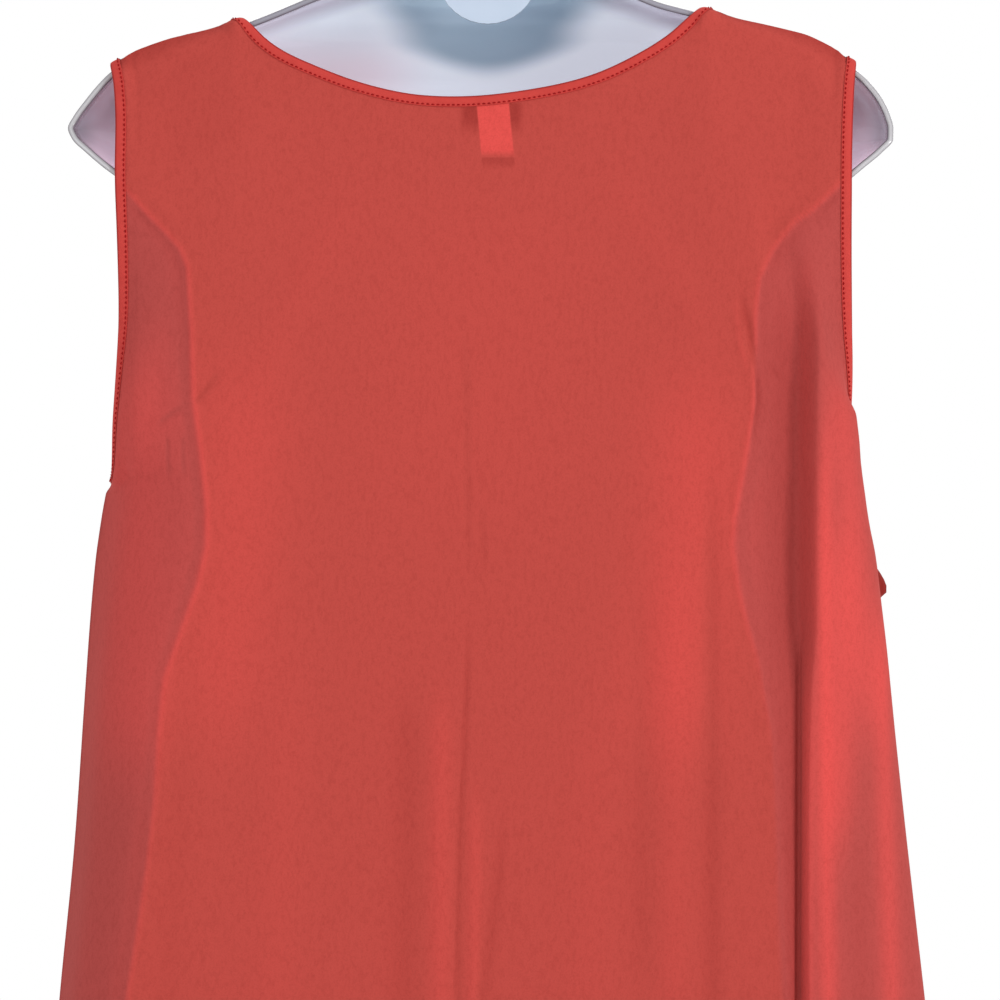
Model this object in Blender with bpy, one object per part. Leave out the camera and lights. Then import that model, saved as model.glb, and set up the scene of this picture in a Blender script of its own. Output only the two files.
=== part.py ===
"""A sleeveless blouse on a limbless, hollow-backed dress form that stands on its flat base.

Units are millimetres until the meshes are written, in metres. X is across, Y points to the wearer's
front and Z is up. The blouse's back, which the open side of the form carries, faces -Y.
"""

import math

import bpy
import bmesh
import numpy as np
from mathutils import Vector
from mathutils.bvhtree import BVHTree

MM = 0.001

# The cloth.
CLOTH_WALL = 1.2
HEM_WALL = 2.0
CLOTH_CLEAR = 0.9
SEAM_GAP = 0.4
HEM_Z = 25.0
BINDING_WIDTH = 5.6
BINDING_WALL = 2.0
BINDING_PROUD = 0.4
BINDING_GAP = 0.7
ARM_GAP = 1.4
BINDING_CLEAR = 0.6

# The form.
FORM_WALL = 3.0
BEAD_WIDTH = 5.0
BEAD_DROP = 2.6
FLOOR_THICK = 4.0
PIECE_GAP = 0.35
NECK_TOP_Z = 812.0
SHOULDER_TOP_Z = 712.0
BEND_RADIUS = 6.0
CAP_THICK = 4.0
TONGUE_X = 3.0
TONGUE_Z = 735.0
TONGUE_RADIUS = 26.6
TONGUE_THICK = 10.0
TONGUE_BACK_Y = -21.66
TONGUE_STEPS = 18
FLOOR_BACK_INSET = 3.0
FLOOR_SIDE_INSET = 6.0

# The labels inside the back neck, seen as shadows through the cloth.
LABEL_WIDTH = 40.0
LABEL_HEIGHT = 12.5
LABEL_TOP_Z = 661.5
LABEL_X = 0.0
LABEL_WALL = 0.8
LABEL_SLACK = 0.3
TAB_WIDTH = 16.0
TAB_HEIGHT = 28.0
TAB_X = 7.5

# The form's outline seen from the back: height, x of the left side.
FORM_LEFT = (
    (0, -188), (60, -190), (120, -189), (200, -182), (280, -172), (340, -167), (400, -155),
    (445, -143), (490, -147), (550, -151), (580, -153), (600, -158), (613, -170), (625, -186),
    (633, -197), (641, -206.4), (648, -213.6), (654, -216), (660, -213.2), (669, -206.8),
    (679, -198.6), (684, -193.2), (687.5, -186), (694.5, -172), (700.3, -154.5), (704.3, -137),
    (709.6, -121.7), (720, -96), (728, -78), (740, -64), (756, -57), (780, -55), (812, -55),
)

# The same for the right side.
FORM_RIGHT = (
    (0, 163), (60, 164), (120, 162), (200, 157), (280, 153), (340, 149), (400, 136),
    (445, 131), (490, 137.5), (550, 142.5), (580, 146), (600, 160), (613, 175), (625, 189.5),
    (633, 199), (641, 208.5), (648, 214.4), (654, 214.6), (660, 213.2), (669, 209.2),
    (679, 201.6), (684, 196), (687.8, 190), (693.4, 181), (699.0, 170), (703.6, 154.7),
    (706.6, 139.5), (714.3, 114), (720.5, 91), (728, 75), (740, 61), (756, 54), (780, 52), (812, 52),
)

# The form's sections: height, y of the rim, depth from the rim to the front.
FORM_DEPTH = (
    (0, -30, 118), (60, -30, 124), (120, -30, 128), (200, -30, 130), (280, -30, 125),
    (340, -30, 115), (400, -30, 104), (445, -30, 101), (490, -30, 113), (550, -30, 126),
    (580, -30, 124), (600, -30, 118), (628, -27, 106), (641, -24, 99), (654, -20, 91),
    (669, -16, 82), (685, -12, 72), (696, -12, 64), (706, -12, 56), (714, -12, 49),
    (722, -13, 46), (730, -15, 47), (742, -18, 51), (758, -20, 57), (780, -21, 60), (812, -21, 61),
)
FORM_POWER = 2.3
FORM_LEVELS = (
    0, 35, 75, 115, 155, 195, 235, 275, 310, 345, 375, 400, 425, 447, 472, 500, 530, 556, 577, 592,
    603, 613, 622, 630, 637, 643, 648, 654, 661, 669, 677, 684, 689, 693.5, 698, 702, 705.5, 709,
    713, 718, 724, 731, 740, 753, 772, 792, 812,
)
FORM_COLUMNS = 20

# The rolled rim's section: how far in from the outline, how far behind the rim's plane.
BEAD = ((0.7, -1.8), (2.5, -BEAD_DROP), (4.3, -1.8), (BEAD_WIDTH, 0.0), (4.2, 1.9))
BEAD_MIDDLE = 2.5

# The blouse's outline seen from the back: height, left x, right x.
SIDE_OUTLINE = (
    (25, -235, 251), (100, -228, 242), (200, -219.8, 230.7), (280, -212, 221.6),
    (360, -206.5, 212.8), (400, -203.6, 208.4), (430, -200.7, 205.8), (450, -198, 202.8),
    (470, -194.2, 200), (490, -192.4, 197.5), (510, -191, 194.6), (530, -189.6, 192.3),
    (560, -188, 191), (600, -187.5, 191.2), (650, -188.9, 192.8), (700, -190, 193),
)

# The back's sections: height, then x of the form's left rim, the centre crease and the right
# rim, y over the rims, how far the cloth sags between them, then the fold beside the right rim.
BACK_SECTIONS = (
    (25, -198, -19, 168, -38, 3.0, 174, -27, 193, -39),
    (100, -191, -17, 165, -37.5, 3.0, 171, -25, 188, -38),
    (200, -182, -14, 158.5, -37, 3.2, 167.5, -23, 182.5, -37),
    (280, -172, -11.5, 154, -36.5, 3.5, 165.8, -21, 180.5, -36.5),
    (360, -165.3, -9, 147.5, -36, 3.8, 165, -20, 179.5, -35.5),
    (400, -155, -7.5, 137, -36, 4.0, 164.8, -19.5, 178.5, -35),
    (445, -143.5, -5, 131.5, -36, 4.2, 165.8, -19, 177, -34),
    (490, -147, -3, 137.5, -36, 4.2, 166.5, -19, 176, -33.5),
    (550, -151, 0, 142.5, -36, 4.2, 165.5, -22, 177, -33),
    (590, -154, 1, 147, -35.5, 4.0, 166, -28, 178, -32),
    (620, -152, 1, 147, -33.5, 4.0, 164, -30.5, 178, -31),
    (650, -147, 1, 140, -29.6, 4.0, 158, -29.4, 175, -29.4),
    (680, -140, 1, 128, -23, 2.5, 150, -23, 171, -23),
    (700, -133, 0, 122, -18.6, 1.0, 142, -18.6, 166, -18.6),
    (707, -133, 0, 122, -16.8, 0.5, 142, -16.8, 166, -16.8),
    (712, -133, 0, 122, -12, 0.0, 142, -12, 166, -12),
)
BACK_SPANS = (4, 4, 5, 5, 5, 5, 4, 4, 4, 3)
LEVELS = (
    25, 45, 90, 135, 180, 225, 270, 310, 350, 385, 415, 440, 456, 466, 470, 477, 487, 499, 512,
    526, 541, 557, 573, 589, 605, 621, 637, 652, 666, 679, 690, 700,
)

# The soft folds of the back: x and height at the top, x and height at the bottom, half width, rise.
BACK_FOLDS = (
    (-3, 500, -16, 25, 5, -1.8),
    (12, 300, -2, 180, 7, -1.5),
    (-34, 370, -37, 25, 13, 1.4),
    (-9, 350, -8, 25, 5, 1.2),
    (122, 500, 112, 25, 11, 1.8),
    (88, 450, 90, 60, 9, 1.1),
    (-90, 330, -106, 25, 16, 1.3),
    (-152, 565, -193, 626, 6, -2.6),
    (145, 565, 192, 624, 6, -2.6),
    (151, 578, 138, 482, 5, 1.4),
    (-138, 530, -158, 505, 4, -1.2),
    (212, 400, 218, 25, 8, 1.6),
)

# The front's depth down its middle: height, y of the cloth.
FRONT_MIDDLE = (
    (25, 124), (100, 119), (200, 113), (300, 108), (400, 103.5), (500, 100), (550, 97),
    (590, 90), (628, 77), (660, 66), (690, 52), (705, 43), (720, 33),
)
FRONT_POWER = 2.3
FRONT_COLUMNS = 32
FRONT_NECK_COLUMNS = 22
SIDE_PULL = 20.0
ARM_COUNT = 22
EDGE_EASE = 0.55
ARM_EASE = 1.1
EDGE_REACH = 28.0
SHEAR_REACH = 62.0
BACK_SAG_HALF = 130.0
BACK_LEAD_Z = 560.0
FRONT_LEAD_Z = 500.0
FRONT_LIFT_Z = 450.0

# The back's anchors beside its rims: how far in and how far back of the seam the left side turns,
# then how far out and how far forward the right side turns, plain and where its seam lies forward.
LEFT_WING = (0.30, 0.62)
RIGHT_WING = (0.6, 0.45, 0.1)
TURN_FROM = 12.0
TURN_OVER = 40.0
VALLEY_SAG = 0.8

# Where each cell of a panel, and each strip along an edge, is tested against the form.
CELL_PLACES = (
    (0, 0), (0, 0.5), (0.5, 0), (0.5, 0.5), (0.25, 0.25), (0.25, 0.75), (0.75, 0.25), (0.75, 0.75),
)
STRIP_PLACES = (0.0, 0.25, 0.5, 0.75)
PUSH_REACH = 15.0
RIM_SKIP = 0.8
FAR_FRONT = 300.0
FAR_BACK = -200.0

# Where the front's section springs from at its sides: height, y, and how square it is.
FRONT_SIDE = (
    (25, 20, 0.435), (430, 20, 0.435), (490, 24, 0.55), (540, 30, 0.75), (620, 30, 0.75),
    (660, 18, 0.7), (690, -2, 0.6), (720, -8, 0.6),
)

# The shoulder seams' own line: x, height.
SHOULDER_LEFT = ((-187.2, 690.6), (-171.8, 698.4), (-154.4, 703.8), (-136.8, 707.7), (-130.2, 710.8))
SHOULDER_RIGHT = (
    (120.6, 716.6), (129.5, 712.6), (141.4, 709.8), (154.7, 707.2), (170, 702.7), (189.8, 692.3),
)

# The side seams: height, then y on the left and on the right, and how far the right one lies inside
# the outline, since the blouse hangs turned a little on the form.
SEAM_LINE = (
    (25, 16, 24, 1.0), (200, 14, 26, 1.5), (400, 12, 29, 2.5), (480, 10, 32, 4.0), (600, 10, 34, 5.0),
)

# The armhole edges, from the underarm to the shoulder tip: x, y, z and the way the cloth faces.
LEFT_ARM_BACK = (
    (-193.6, 10, 473, -1, 0, 0), (-193.2, 2, 474.5, -1, -0.2, 0), (-192.8, -6, 480, -1, -0.3, 0),
    (-191.8, -13, 496, -1, -0.4, 0), (-190.0, -20, 526, -0.85, -0.6, 0),
    (-188.6, -26, 560, -0.45, -0.95, 0), (-188.4, -30, 600, -0.15, -1, 0),
    (-189.4, -31.5, 630, -0.1, -1, 0.05), (-190.6, -28, 656, -0.1, -1, 0.2),
    (-191.8, -21.5, 676, -0.15, -0.9, 0.5), (-193.2, -12, 688.2, -0.2, -0.1, 1),
)
LEFT_ARM_FRONT = (
    (-193.6, 10, 473, -1, 0, 0), (-193.2, 20, 475.5, -1, 0.35, 0), (-192.0, 28, 484, -1, 0.6, 0),
    (-188.5, 36, 502, -0.8, 0.7, 0), (-184.0, 40, 532, -0.6, 0.8, 0),
    (-180.0, 41, 566, -0.5, 0.9, 0), (-178.5, 40, 602, -0.4, 1, 0.1),
    (-180.0, 38.5, 630, -0.4, 1, 0.2), (-184.0, 35, 652, -0.3, 0.9, 0.3),
    (-187.0, 29.5, 667, -0.3, 0.8, 0.5), (-189.5, 20.5, 679, -0.3, 0.6, 0.8),
    (-191.7, 7, 686, -0.2, 0.2, 1), (-193.2, -12, 688.2, -0.2, -0.1, 1),
)
RIGHT_ARM_BACK = (
    (193.0, 33, 482, 1, 0.2, 0), (194.2, 25, 483.5, 1, 0.1, 0), (194.8, 16, 490, 1, -0.1, 0),
    (193.6, 4, 508, 1, -0.3, 0), (192.0, -8, 530, 0.8, -0.6, 0),
    (190.9, -18, 560, 0.35, -0.95, 0), (191.4, -28, 600, 0.15, -1, 0),
    (192.4, -31.5, 630, 0.1, -1, 0.05), (193.2, -28, 656, 0.1, -1, 0.2),
    (194.0, -21.5, 676, 0.15, -0.9, 0.5), (194.3, -12, 688.2, 0.2, -0.1, 1),
)
RIGHT_ARM_FRONT = (
    (193.0, 33, 482, 1, 0.3, 0), (191.0, 41, 485, 1, 0.6, 0), (188.0, 46, 493, 0.9, 0.8, 0),
    (184.5, 48, 508, 0.7, 0.9, 0), (181.5, 48, 535, 0.6, 0.9, 0),
    (180.0, 46, 568, 0.5, 0.9, 0), (179.5, 42.5, 602, 0.4, 1, 0.1),
    (181.5, 39, 630, 0.4, 1, 0.2), (185.0, 35, 652, 0.3, 0.9, 0.3),
    (188.0, 29.5, 667, 0.3, 0.8, 0.5), (190.5, 20.5, 679, 0.3, 0.6, 0.8),
    (192.8, 7, 686, 0.2, 0.2, 1), (194.3, -12, 688.2, 0.2, -0.1, 1),
)

# The neck edge of the back, from the left shoulder to the right one: x, height.
NECK_BACK = (
    (-127, 711.7), (-121.7, 709.3), (-113.9, 701.5), (-103, 693.9), (-86.3, 686.4),
    (-67.8, 679.1), (-51, 674.4), (-33.8, 671.1), (-17.2, 670.3), (0, 670.8), (16.6, 672.9),
    (33.8, 675.6), (56.2, 681.2), (79, 691.6), (97.8, 703.3), (104.3, 708.8), (109.7, 713.6),
    (116, 717.1),
)

# The front neck edge, which the form's chest carries: part of the half width, drop, y.
NECK_FRONT = (
    (1.0, 0, -12), (0.995, 2.5, -2), (0.98, 8, 20), (0.955, 20, 42), (0.905, 36, 56),
    (0.81, 58, 68), (0.64, 80, 78), (0.43, 95, 84), (0.21, 104, 87), (0.0, 107, 88),
)

# The colours, as the photograph shows them: red, green, blue, roughness, metallic.
LOOKS = {
    "cloth": (0.53, 0.075, 0.062, 0.85, 0.0),
    "binding": (0.60, 0.068, 0.055, 0.8, 0.0),
    "label": (0.75, 0.72, 0.70, 0.7, 0.0),
    "shell": (0.72, 0.70, 0.76, 0.3, 0.0),
}


def slopes(keys, values):
    """Slopes that keep a curve through the values free of overshoot."""
    steps = np.diff(keys)
    rises = np.diff(values, axis=0) / steps[:, None]
    found = np.zeros_like(values)
    found[0] = rises[0]
    found[-1] = rises[-1]
    for i in range(1, len(keys) - 1):
        before = rises[i - 1]
        after = rises[i]
        same_way = before * after > 0
        mean = 2.0 * before * after / np.where(same_way, before + after, 1.0)
        found[i] = np.where(same_way, mean, 0.0)
    return found


def curve_at(keys, values, where):
    """The smooth curve through the values, read at each key in where."""
    keys = np.asarray(keys, float)
    values = np.asarray(values, float)
    where = np.clip(np.atleast_1d(np.asarray(where, float)), keys[0], keys[-1])
    bends = slopes(keys, values)
    left = np.clip(np.searchsorted(keys, where, side="right") - 1, 0, len(keys) - 2)
    span = (keys[left + 1] - keys[left])[:, None]
    t = (where[:, None] - keys[left][:, None]) / span
    start = (1 + 2 * t) * (1 - t) ** 2 * values[left] + t * (1 - t) ** 2 * span * bends[left]
    end = t * t * (3 - 2 * t) * values[left + 1] + t * t * (t - 1) * span * bends[left + 1]
    return start + end


def read(table, height):
    """The row of a table whose first column is the height, at any height."""
    rows = np.asarray(table, float)
    return curve_at(rows[:, 0], rows[:, 1:], height)[0]


def lengths_along(points):
    steps = np.linalg.norm(np.diff(points, axis=0), axis=1)
    return np.concatenate([[0.0], np.cumsum(steps)])


def spread(points, count, ease=0.0):
    """Points spaced along the smooth curve through these points, closer at its ends by ease."""
    points = np.asarray(points, float)
    keys = lengths_along(points[:, :3])
    fine = curve_at(keys, points, np.linspace(0, keys[-1], 400))
    fine_keys = lengths_along(fine[:, :3])
    part = np.linspace(0, 1, count)
    part = part - ease * np.sin(2 * math.pi * part) / (2 * math.pi)
    where = part * fine_keys[-1]
    return np.stack([np.interp(where, fine_keys, fine[:, k]) for k in range(fine.shape[1])], axis=1)


def through(anchors, spans):
    """Points along a smooth section through its anchors, so many to each span."""
    anchors = np.asarray(anchors, float)
    keys = lengths_along(anchors)
    where = [keys[0]]
    for i, count in enumerate(spans):
        where += list(np.linspace(keys[i], keys[i + 1], count + 1)[1:])
    return curve_at(keys, anchors, where)


def unit(vectors):
    size = np.linalg.norm(vectors, axis=-1, keepdims=True)
    return vectors / np.where(size < 1e-9, 1.0, size)


def grid_normals(grid):
    """The normal at each point of a grid of rows and columns, by its neighbours."""
    along_row = np.gradient(grid, axis=1)
    along_column = np.gradient(grid, axis=0)
    return unit(np.cross(along_row, along_column))


def make_material(name):
    red, green, blue, rough, metal = LOOKS[name]
    material = bpy.data.materials.new(name)
    material.use_nodes = True
    shader = material.node_tree.nodes["Principled BSDF"]
    shader.inputs["Base Color"].default_value = (red, green, blue, 1.0)
    shader.inputs["Roughness"].default_value = rough
    shader.inputs["Metallic"].default_value = metal
    return material


def make_object(name, points, faces, look, parent, smooth_angle=40.0):
    mesh = bpy.data.meshes.new(name)
    mesh.from_pydata([tuple(float(c) * MM for c in p) for p in points], [], faces)
    work = bmesh.new()
    work.from_mesh(mesh)
    bmesh.ops.recalc_face_normals(work, faces=work.faces)
    bmesh.ops.triangulate(work, faces=work.faces)
    work.to_mesh(mesh)
    work.free()
    mesh.shade_smooth()
    mesh.set_sharp_from_angle(angle=math.radians(smooth_angle))
    obj = bpy.data.objects.new(name, mesh)
    bpy.context.collection.objects.link(obj)
    obj.parent = parent
    mesh.materials.append(make_material(look))
    return obj


def sheet_solid(outer, inner):
    """Points and faces of a wall between two grids of the same rows and columns."""
    rows, columns = outer.shape[:2]
    points = np.concatenate([outer.reshape(-1, 3), inner.reshape(-1, 3)])
    below = rows * columns
    faces = []
    for r in range(rows - 1):
        for c in range(columns - 1):
            a = r * columns + c
            quad = (a, a + 1, a + columns + 1, a + columns)
            faces.append(quad)
            faces.append(tuple(below + k for k in reversed(quad)))
    edge = [c for c in range(columns)]
    edge += [r * columns + columns - 1 for r in range(1, rows)]
    edge += [(rows - 1) * columns + c for c in range(columns - 2, -1, -1)]
    edge += [r * columns for r in range(rows - 2, 0, -1)]
    for i, a in enumerate(edge):
        b = edge[(i + 1) % len(edge)]
        faces.append((a, below + a, below + b, b))
    return points, faces


def ring_solid(rings):
    """Points and faces of a closed loop of equal sections."""
    count = len(rings)
    size = len(rings[0])
    points = np.concatenate(rings)
    faces = []
    for i in range(count):
        j = (i + 1) % count
        for k in range(size):
            m = (k + 1) % size
            faces.append((i * size + k, i * size + m, j * size + m, j * size + k))
    return points, faces


def plate_solid(outline, thickness_way):
    """Points and faces of a flat plate: its outline, and the same outline moved."""
    outline = np.asarray(outline, float)
    size = len(outline)
    points = np.concatenate([outline, outline + np.asarray(thickness_way, float)])
    faces = [tuple(range(size)), tuple(reversed(range(size, 2 * size)))]
    for k in range(size):
        m = (k + 1) % size
        faces.append((k, size + k, size + m, m))
    return points, faces


def form_outline(height):
    return read(FORM_LEFT, height)[0], read(FORM_RIGHT, height)[0]


def form_row(height, count=FORM_COLUMNS):
    """One level section of the form's outer face, from the left rim round to the right one."""
    left, right = form_outline(height)
    rim_y, depth = read(FORM_DEPTH, height)
    angle = np.linspace(math.pi, 0.0, count)
    across = np.sign(np.cos(angle)) * np.abs(np.cos(angle)) ** (2.0 / FORM_POWER)
    out = np.abs(np.sin(angle)) ** (2.0 / FORM_POWER)
    out[0] = 0.0
    out[-1] = 0.0
    x = (left + right) / 2 + (right - left) / 2 * across
    return np.stack([x, rim_y + depth * out, np.full(count, float(height))], axis=1)


def form_grids():
    """The form's outer face, its outward normals, and the way inward at each point of its rims."""
    outer = np.stack([form_row(z) for z in FORM_LEVELS])
    normals = -grid_normals(outer)
    if normals[5, FORM_COLUMNS // 2, 1] < 0:
        normals = -normals
    rims = []
    for column, sign in ((0, -1.0), (-1, 1.0)):
        line = outer[:, column]
        way = np.gradient(line, axis=0)
        side = np.stack([way[:, 2], np.zeros(len(line)), -way[:, 0]], axis=1)
        side = unit(side) * sign
        side[0] = (sign, 0, 0)
        side[-1] = (sign, 0, 0)
        normals[:, column] = side
        rims.append(-side)
    normals[0, :, 2] = 0
    normals[-1, :, 2] = 0
    return outer, unit(normals), rims


def bead_points(rim, inward):
    """The rolled rim's round section at one rim point."""
    return [rim + inward * into + np.array((0.0, back, 0.0)) for into, back in BEAD]


def make_form(parent):
    outer, normals, (left_in, right_in) = form_grids()
    inner = outer - normals * FORM_WALL
    loops = []
    for r in range(len(FORM_LEVELS)):
        loop = list(outer[r])
        loop += bead_points(outer[r, -1], right_in[r])
        loop += list(inner[r, -2:0:-1])
        loop += list(reversed(bead_points(outer[r, 0], left_in[r])))
        loops.append(np.array(loop))
    size = len(loops[0])
    points = np.concatenate(loops)
    faces = []
    for r in range(len(loops) - 1):
        for k in range(size):
            m = (k + 1) % size
            faces.append((r * size + k, r * size + m, (r + 1) * size + m, (r + 1) * size + k))
    n = FORM_COLUMNS
    beads = len(BEAD)
    for start in (0, (len(loops) - 1) * size):
        inner_at = {c: start + n + beads + (n - 2 - c) for c in range(1, n - 1)}
        for c in range(1, n - 2):
            faces.append((start + c, start + c + 1, inner_at[c + 1], inner_at[c]))
        right_end = [start + n - 2, start + n - 1] + [start + n + k for k in range(beads)]
        faces.append(tuple(right_end + [inner_at[n - 2]]))
        left_end = [start + 1, inner_at[1]] + [start + size - beads + k for k in range(beads)]
        faces.append(tuple(left_end + [start]))
    return make_object("form_shell", points, faces, "shell", parent)


def make_floor(parent):
    """The flat plate inside the shell's bottom edge, on which the form stands."""
    outer, normals, _ = form_grids()
    line = (outer[0] - normals[0] * (FORM_WALL + PIECE_GAP))[2:-2]
    back_y = outer[0, 0, 1] + FLOOR_BACK_INSET
    left_x = outer[0, 0, 0] + FLOOR_SIDE_INSET
    right_x = outer[0, -1, 0] - FLOOR_SIDE_INSET
    outline = [(left_x, back_y, 0)] + [tuple(p) for p in line] + [(right_x, back_y, 0)]
    points, faces = plate_solid(outline, (0, 0, FLOOR_THICK))
    return make_object("form_floor", points, faces, "shell", parent)


def make_neck_cap(parent):
    """The plain top of the neck, seated on the shell's top edge."""
    row = form_row(NECK_TOP_Z)
    row[:, 2] = NECK_TOP_Z + PIECE_GAP
    back_y = row[0, 1] - BEAD_DROP
    outline = [(row[0, 0], back_y, row[0, 2])] + [tuple(p) for p in row]
    outline += [(row[-1, 0], back_y, row[0, 2])]
    points, faces = plate_solid(outline, (0, 0, CAP_THICK))
    return make_object("form_neck_cap", points, faces, "shell", parent)


def make_tongue(parent):
    """The flat plate that hangs from the neck's top and ends in a half round."""
    back_y = TONGUE_BACK_Y
    outline = []
    for step in range(TONGUE_STEPS + 1):
        angle = math.pi + math.pi * step / TONGUE_STEPS
        x = TONGUE_X + TONGUE_RADIUS * math.cos(angle)
        outline.append((x, back_y, TONGUE_Z + TONGUE_RADIUS * math.sin(angle)))
    outline.append((TONGUE_X + TONGUE_RADIUS, back_y, NECK_TOP_Z))
    outline.append((TONGUE_X - TONGUE_RADIUS, back_y, NECK_TOP_Z))
    points, faces = plate_solid(outline, (0, TONGUE_THICK, 0))
    return make_object("form_neck_tongue", points, faces, "shell", parent)


def form_skin():
    """A search tree of the form's outer face, and the centre line of its rolled rim."""
    outer, _, (left_in, right_in) = form_grids()
    rows, columns = outer.shape[:2]
    faces = []
    for r in range(rows - 1):
        for c in range(columns - 1):
            a = r * columns + c
            faces.append((a, a + columns, a + columns + 1, a + 1))
    tree = BVHTree.FromPolygons([Vector(p) for p in outer.reshape(-1, 3)], faces)
    beads = [outer[:, 0] + left_in * BEAD_MIDDLE, outer[:, -1] + right_in * BEAD_MIDDLE]
    return tree, [spread(line, 300) for line in beads]


def skin_push(form, point, clearance):
    """The move that takes a point out of the form's outer face to this clearance."""
    near, normal, _, distance = form[0].find_nearest(Vector(point))
    if distance > PUSH_REACH or near.y - read(FORM_DEPTH, near.z)[0] < RIM_SKIP:
        return np.zeros(3)
    offset = Vector(point) - near
    if offset.dot(normal) >= 0 and distance >= clearance:
        return np.zeros(3)
    return np.array(near + normal * clearance) - point


def bead_push(form, point, clearance):
    """The move that takes a point away from the form's rolled rim."""
    move = np.zeros(3)
    for line in form[1]:
        gaps = point + move - line
        sizes = np.einsum("ij,ij->i", gaps, gaps)
        i = int(np.argmin(sizes))
        size = math.sqrt(sizes[i])
        if size < clearance + BEAD_DROP:
            move = move + gaps[i] / max(size, 1e-6) * (clearance + BEAD_DROP - size)
    return move


def back_push(form, point, clearance):
    """The move that takes a point of the back panel behind the form's rolled rim."""
    back_y = point[1]
    for line in form[1]:
        gaps = np.square(line[:, 0] - point[0]) + np.square(line[:, 2] - point[2])
        room = (clearance + BEAD_DROP) ** 2 - gaps
        near = room > 0
        if near.any():
            back_y = min(back_y, float(np.min(line[near, 1] - np.sqrt(room[near]))))
    return np.array((0.0, back_y - point[1], 0.0))


def push_off(form, point, clearance):
    move = skin_push(form, point, clearance)
    return move + bead_push(form, point + move, clearance)


def settle(grid, wall, form, fixed_normals, rounds=5):
    """Moves a panel's points out until its inner face is clear of the form."""
    rows, columns = grid.shape[:2]
    push = back_push if fixed_normals["side"] < 0 else push_off
    for _ in range(rounds):
        normals = panel_normals(grid, fixed_normals)
        inner = grid - normals * wall
        moves = np.zeros_like(grid)
        for r in range(rows - 1):
            for c in range(columns - 1):
                corners = ((r, c), (r, c + 1), (r + 1, c), (r + 1, c + 1))
                for up, over in CELL_PLACES:
                    low_side = inner[r, c] + (inner[r, c + 1] - inner[r, c]) * over
                    high_side = inner[r + 1, c] + (inner[r + 1, c + 1] - inner[r + 1, c]) * over
                    step = push(form, low_side + (high_side - low_side) * up, CLOTH_CLEAR)
                    if not step.any():
                        continue
                    for k in corners if up or over else corners[:1]:
                        if np.dot(step, step) > np.dot(moves[k], moves[k]):
                            moves[k] = step
        moves[-1] = 0
        moves[:, 0] = 0
        moves[:, -1] = 0
        grid = grid + moves
    return grid


def panel_normals(grid, fixed):
    """The panel's facing at each point, with that of its edges given."""
    normals = grid_normals(grid)
    middle = normals[len(grid) // 2, grid.shape[1] // 2]
    if middle[1] * fixed["side"] < 0:
        normals = -normals
    normals[:, 0] = fixed["left"]
    normals[:, -1] = fixed["right"]
    normals[-1] = fixed["top"]
    return unit(normals)


def fold_rise(x, z):
    """How far the back's soft folds lift the cloth at this place."""
    rise = 0.0
    for x_top, z_top, x_low, z_low, half, height in BACK_FOLDS:
        start = np.array((x_top, z_top), float)
        way = np.array((x_low, z_low), float) - start
        size = math.hypot(way[0], way[1])
        t = float(np.dot(np.array((x, z)) - start, way)) / size**2
        side = abs(float((x - start[0]) * way[1] - (z - start[1]) * way[0])) / size
        if side > 3 * half or t < -0.1 or t > 1.1:
            continue
        along = min(1.0, max(0.0, (t + 0.1) / 0.25))
        if z_low > HEM_Z:
            along *= min(1.0, max(0.0, (1.1 - t) / 0.25))
        along = along * along * (3 - 2 * along)
        rise += height * along * math.exp(-((side / half) ** 2))
    return rise


def back_plane(x, z):
    """y of the back where it hangs from the shoulders, by its depth below the shoulder line."""
    outline = SHOULDER_LEFT + SHOULDER_RIGHT
    shoulder_z = float(np.interp(x, [p[0] for p in outline], [p[1] for p in outline]))
    below = z + SHOULDER_TOP_Z - shoulder_z
    _, _, _, rim_y, sag, _, _, _, _ = read(BACK_SECTIONS, below)
    share = min(1.0, abs(x) / BACK_SAG_HALF)
    return rim_y + sag * (1 - share**2)


def neck_line(form):
    """The neck edge all round: the back's part and the front's, each with the cloth's facing."""
    back = [(x, back_plane(x, z), z) for x, z in NECK_BACK]
    back = spread(back, sum(BACK_SPANS[2:6]) + 1, EDGE_EASE)
    left = back[0]
    right = back[-1]
    middle_x = (left[0] + right[0]) / 2
    front = []
    for part, drop, y in NECK_FRONT:
        front.append((middle_x + (left[0] - middle_x) * part, y, left[2] - drop))
    for part, drop, y in reversed(NECK_FRONT[:-1]):
        top = left[2] + (right[2] - left[2]) * part
        front.append((middle_x + (right[0] - middle_x) * part, y, top - drop))
    front = spread(front, FRONT_NECK_COLUMNS, EDGE_EASE)
    facing_back = []
    for p in back:
        tip_z = np.interp(p[0], (left[0], right[0]), (left[2], right[2]))
        lean = math.asin(max(0.1, min(0.98, (tip_z - p[2]) / BEND_RADIUS)))
        facing_back.append((0.0, -math.sin(lean), math.cos(lean)))
    settled = []
    facing_front = []
    for p in front:
        near, normal, _, _ = form[0].find_nearest(Vector(p))
        settled.append(np.array(near + normal * (CLOTH_CLEAR + CLOTH_WALL)))
        facing_front.append(np.array(normal))
    front = np.array(settled)
    front[0] = left
    front[-1] = right
    facing_front[0] = np.array((0, -0.15, 1.0))
    facing_front[-1] = np.array((0, -0.15, 1.0))
    points = np.concatenate([back, front[-2:0:-1]])
    facing = np.concatenate([facing_back, facing_front[-2:0:-1]])
    return points, unit(facing), len(back)


def arm_line(back_table, front_table):
    """An armhole edge as a closed loop, from the underarm up the back and down the front."""
    back = spread(back_table, ARM_COUNT, EDGE_EASE)
    front = spread(front_table, ARM_COUNT, EDGE_EASE)
    line = np.concatenate([back, front[-2:0:-1]])
    return line[:, :3], unit(line[:, 3:6])


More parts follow.
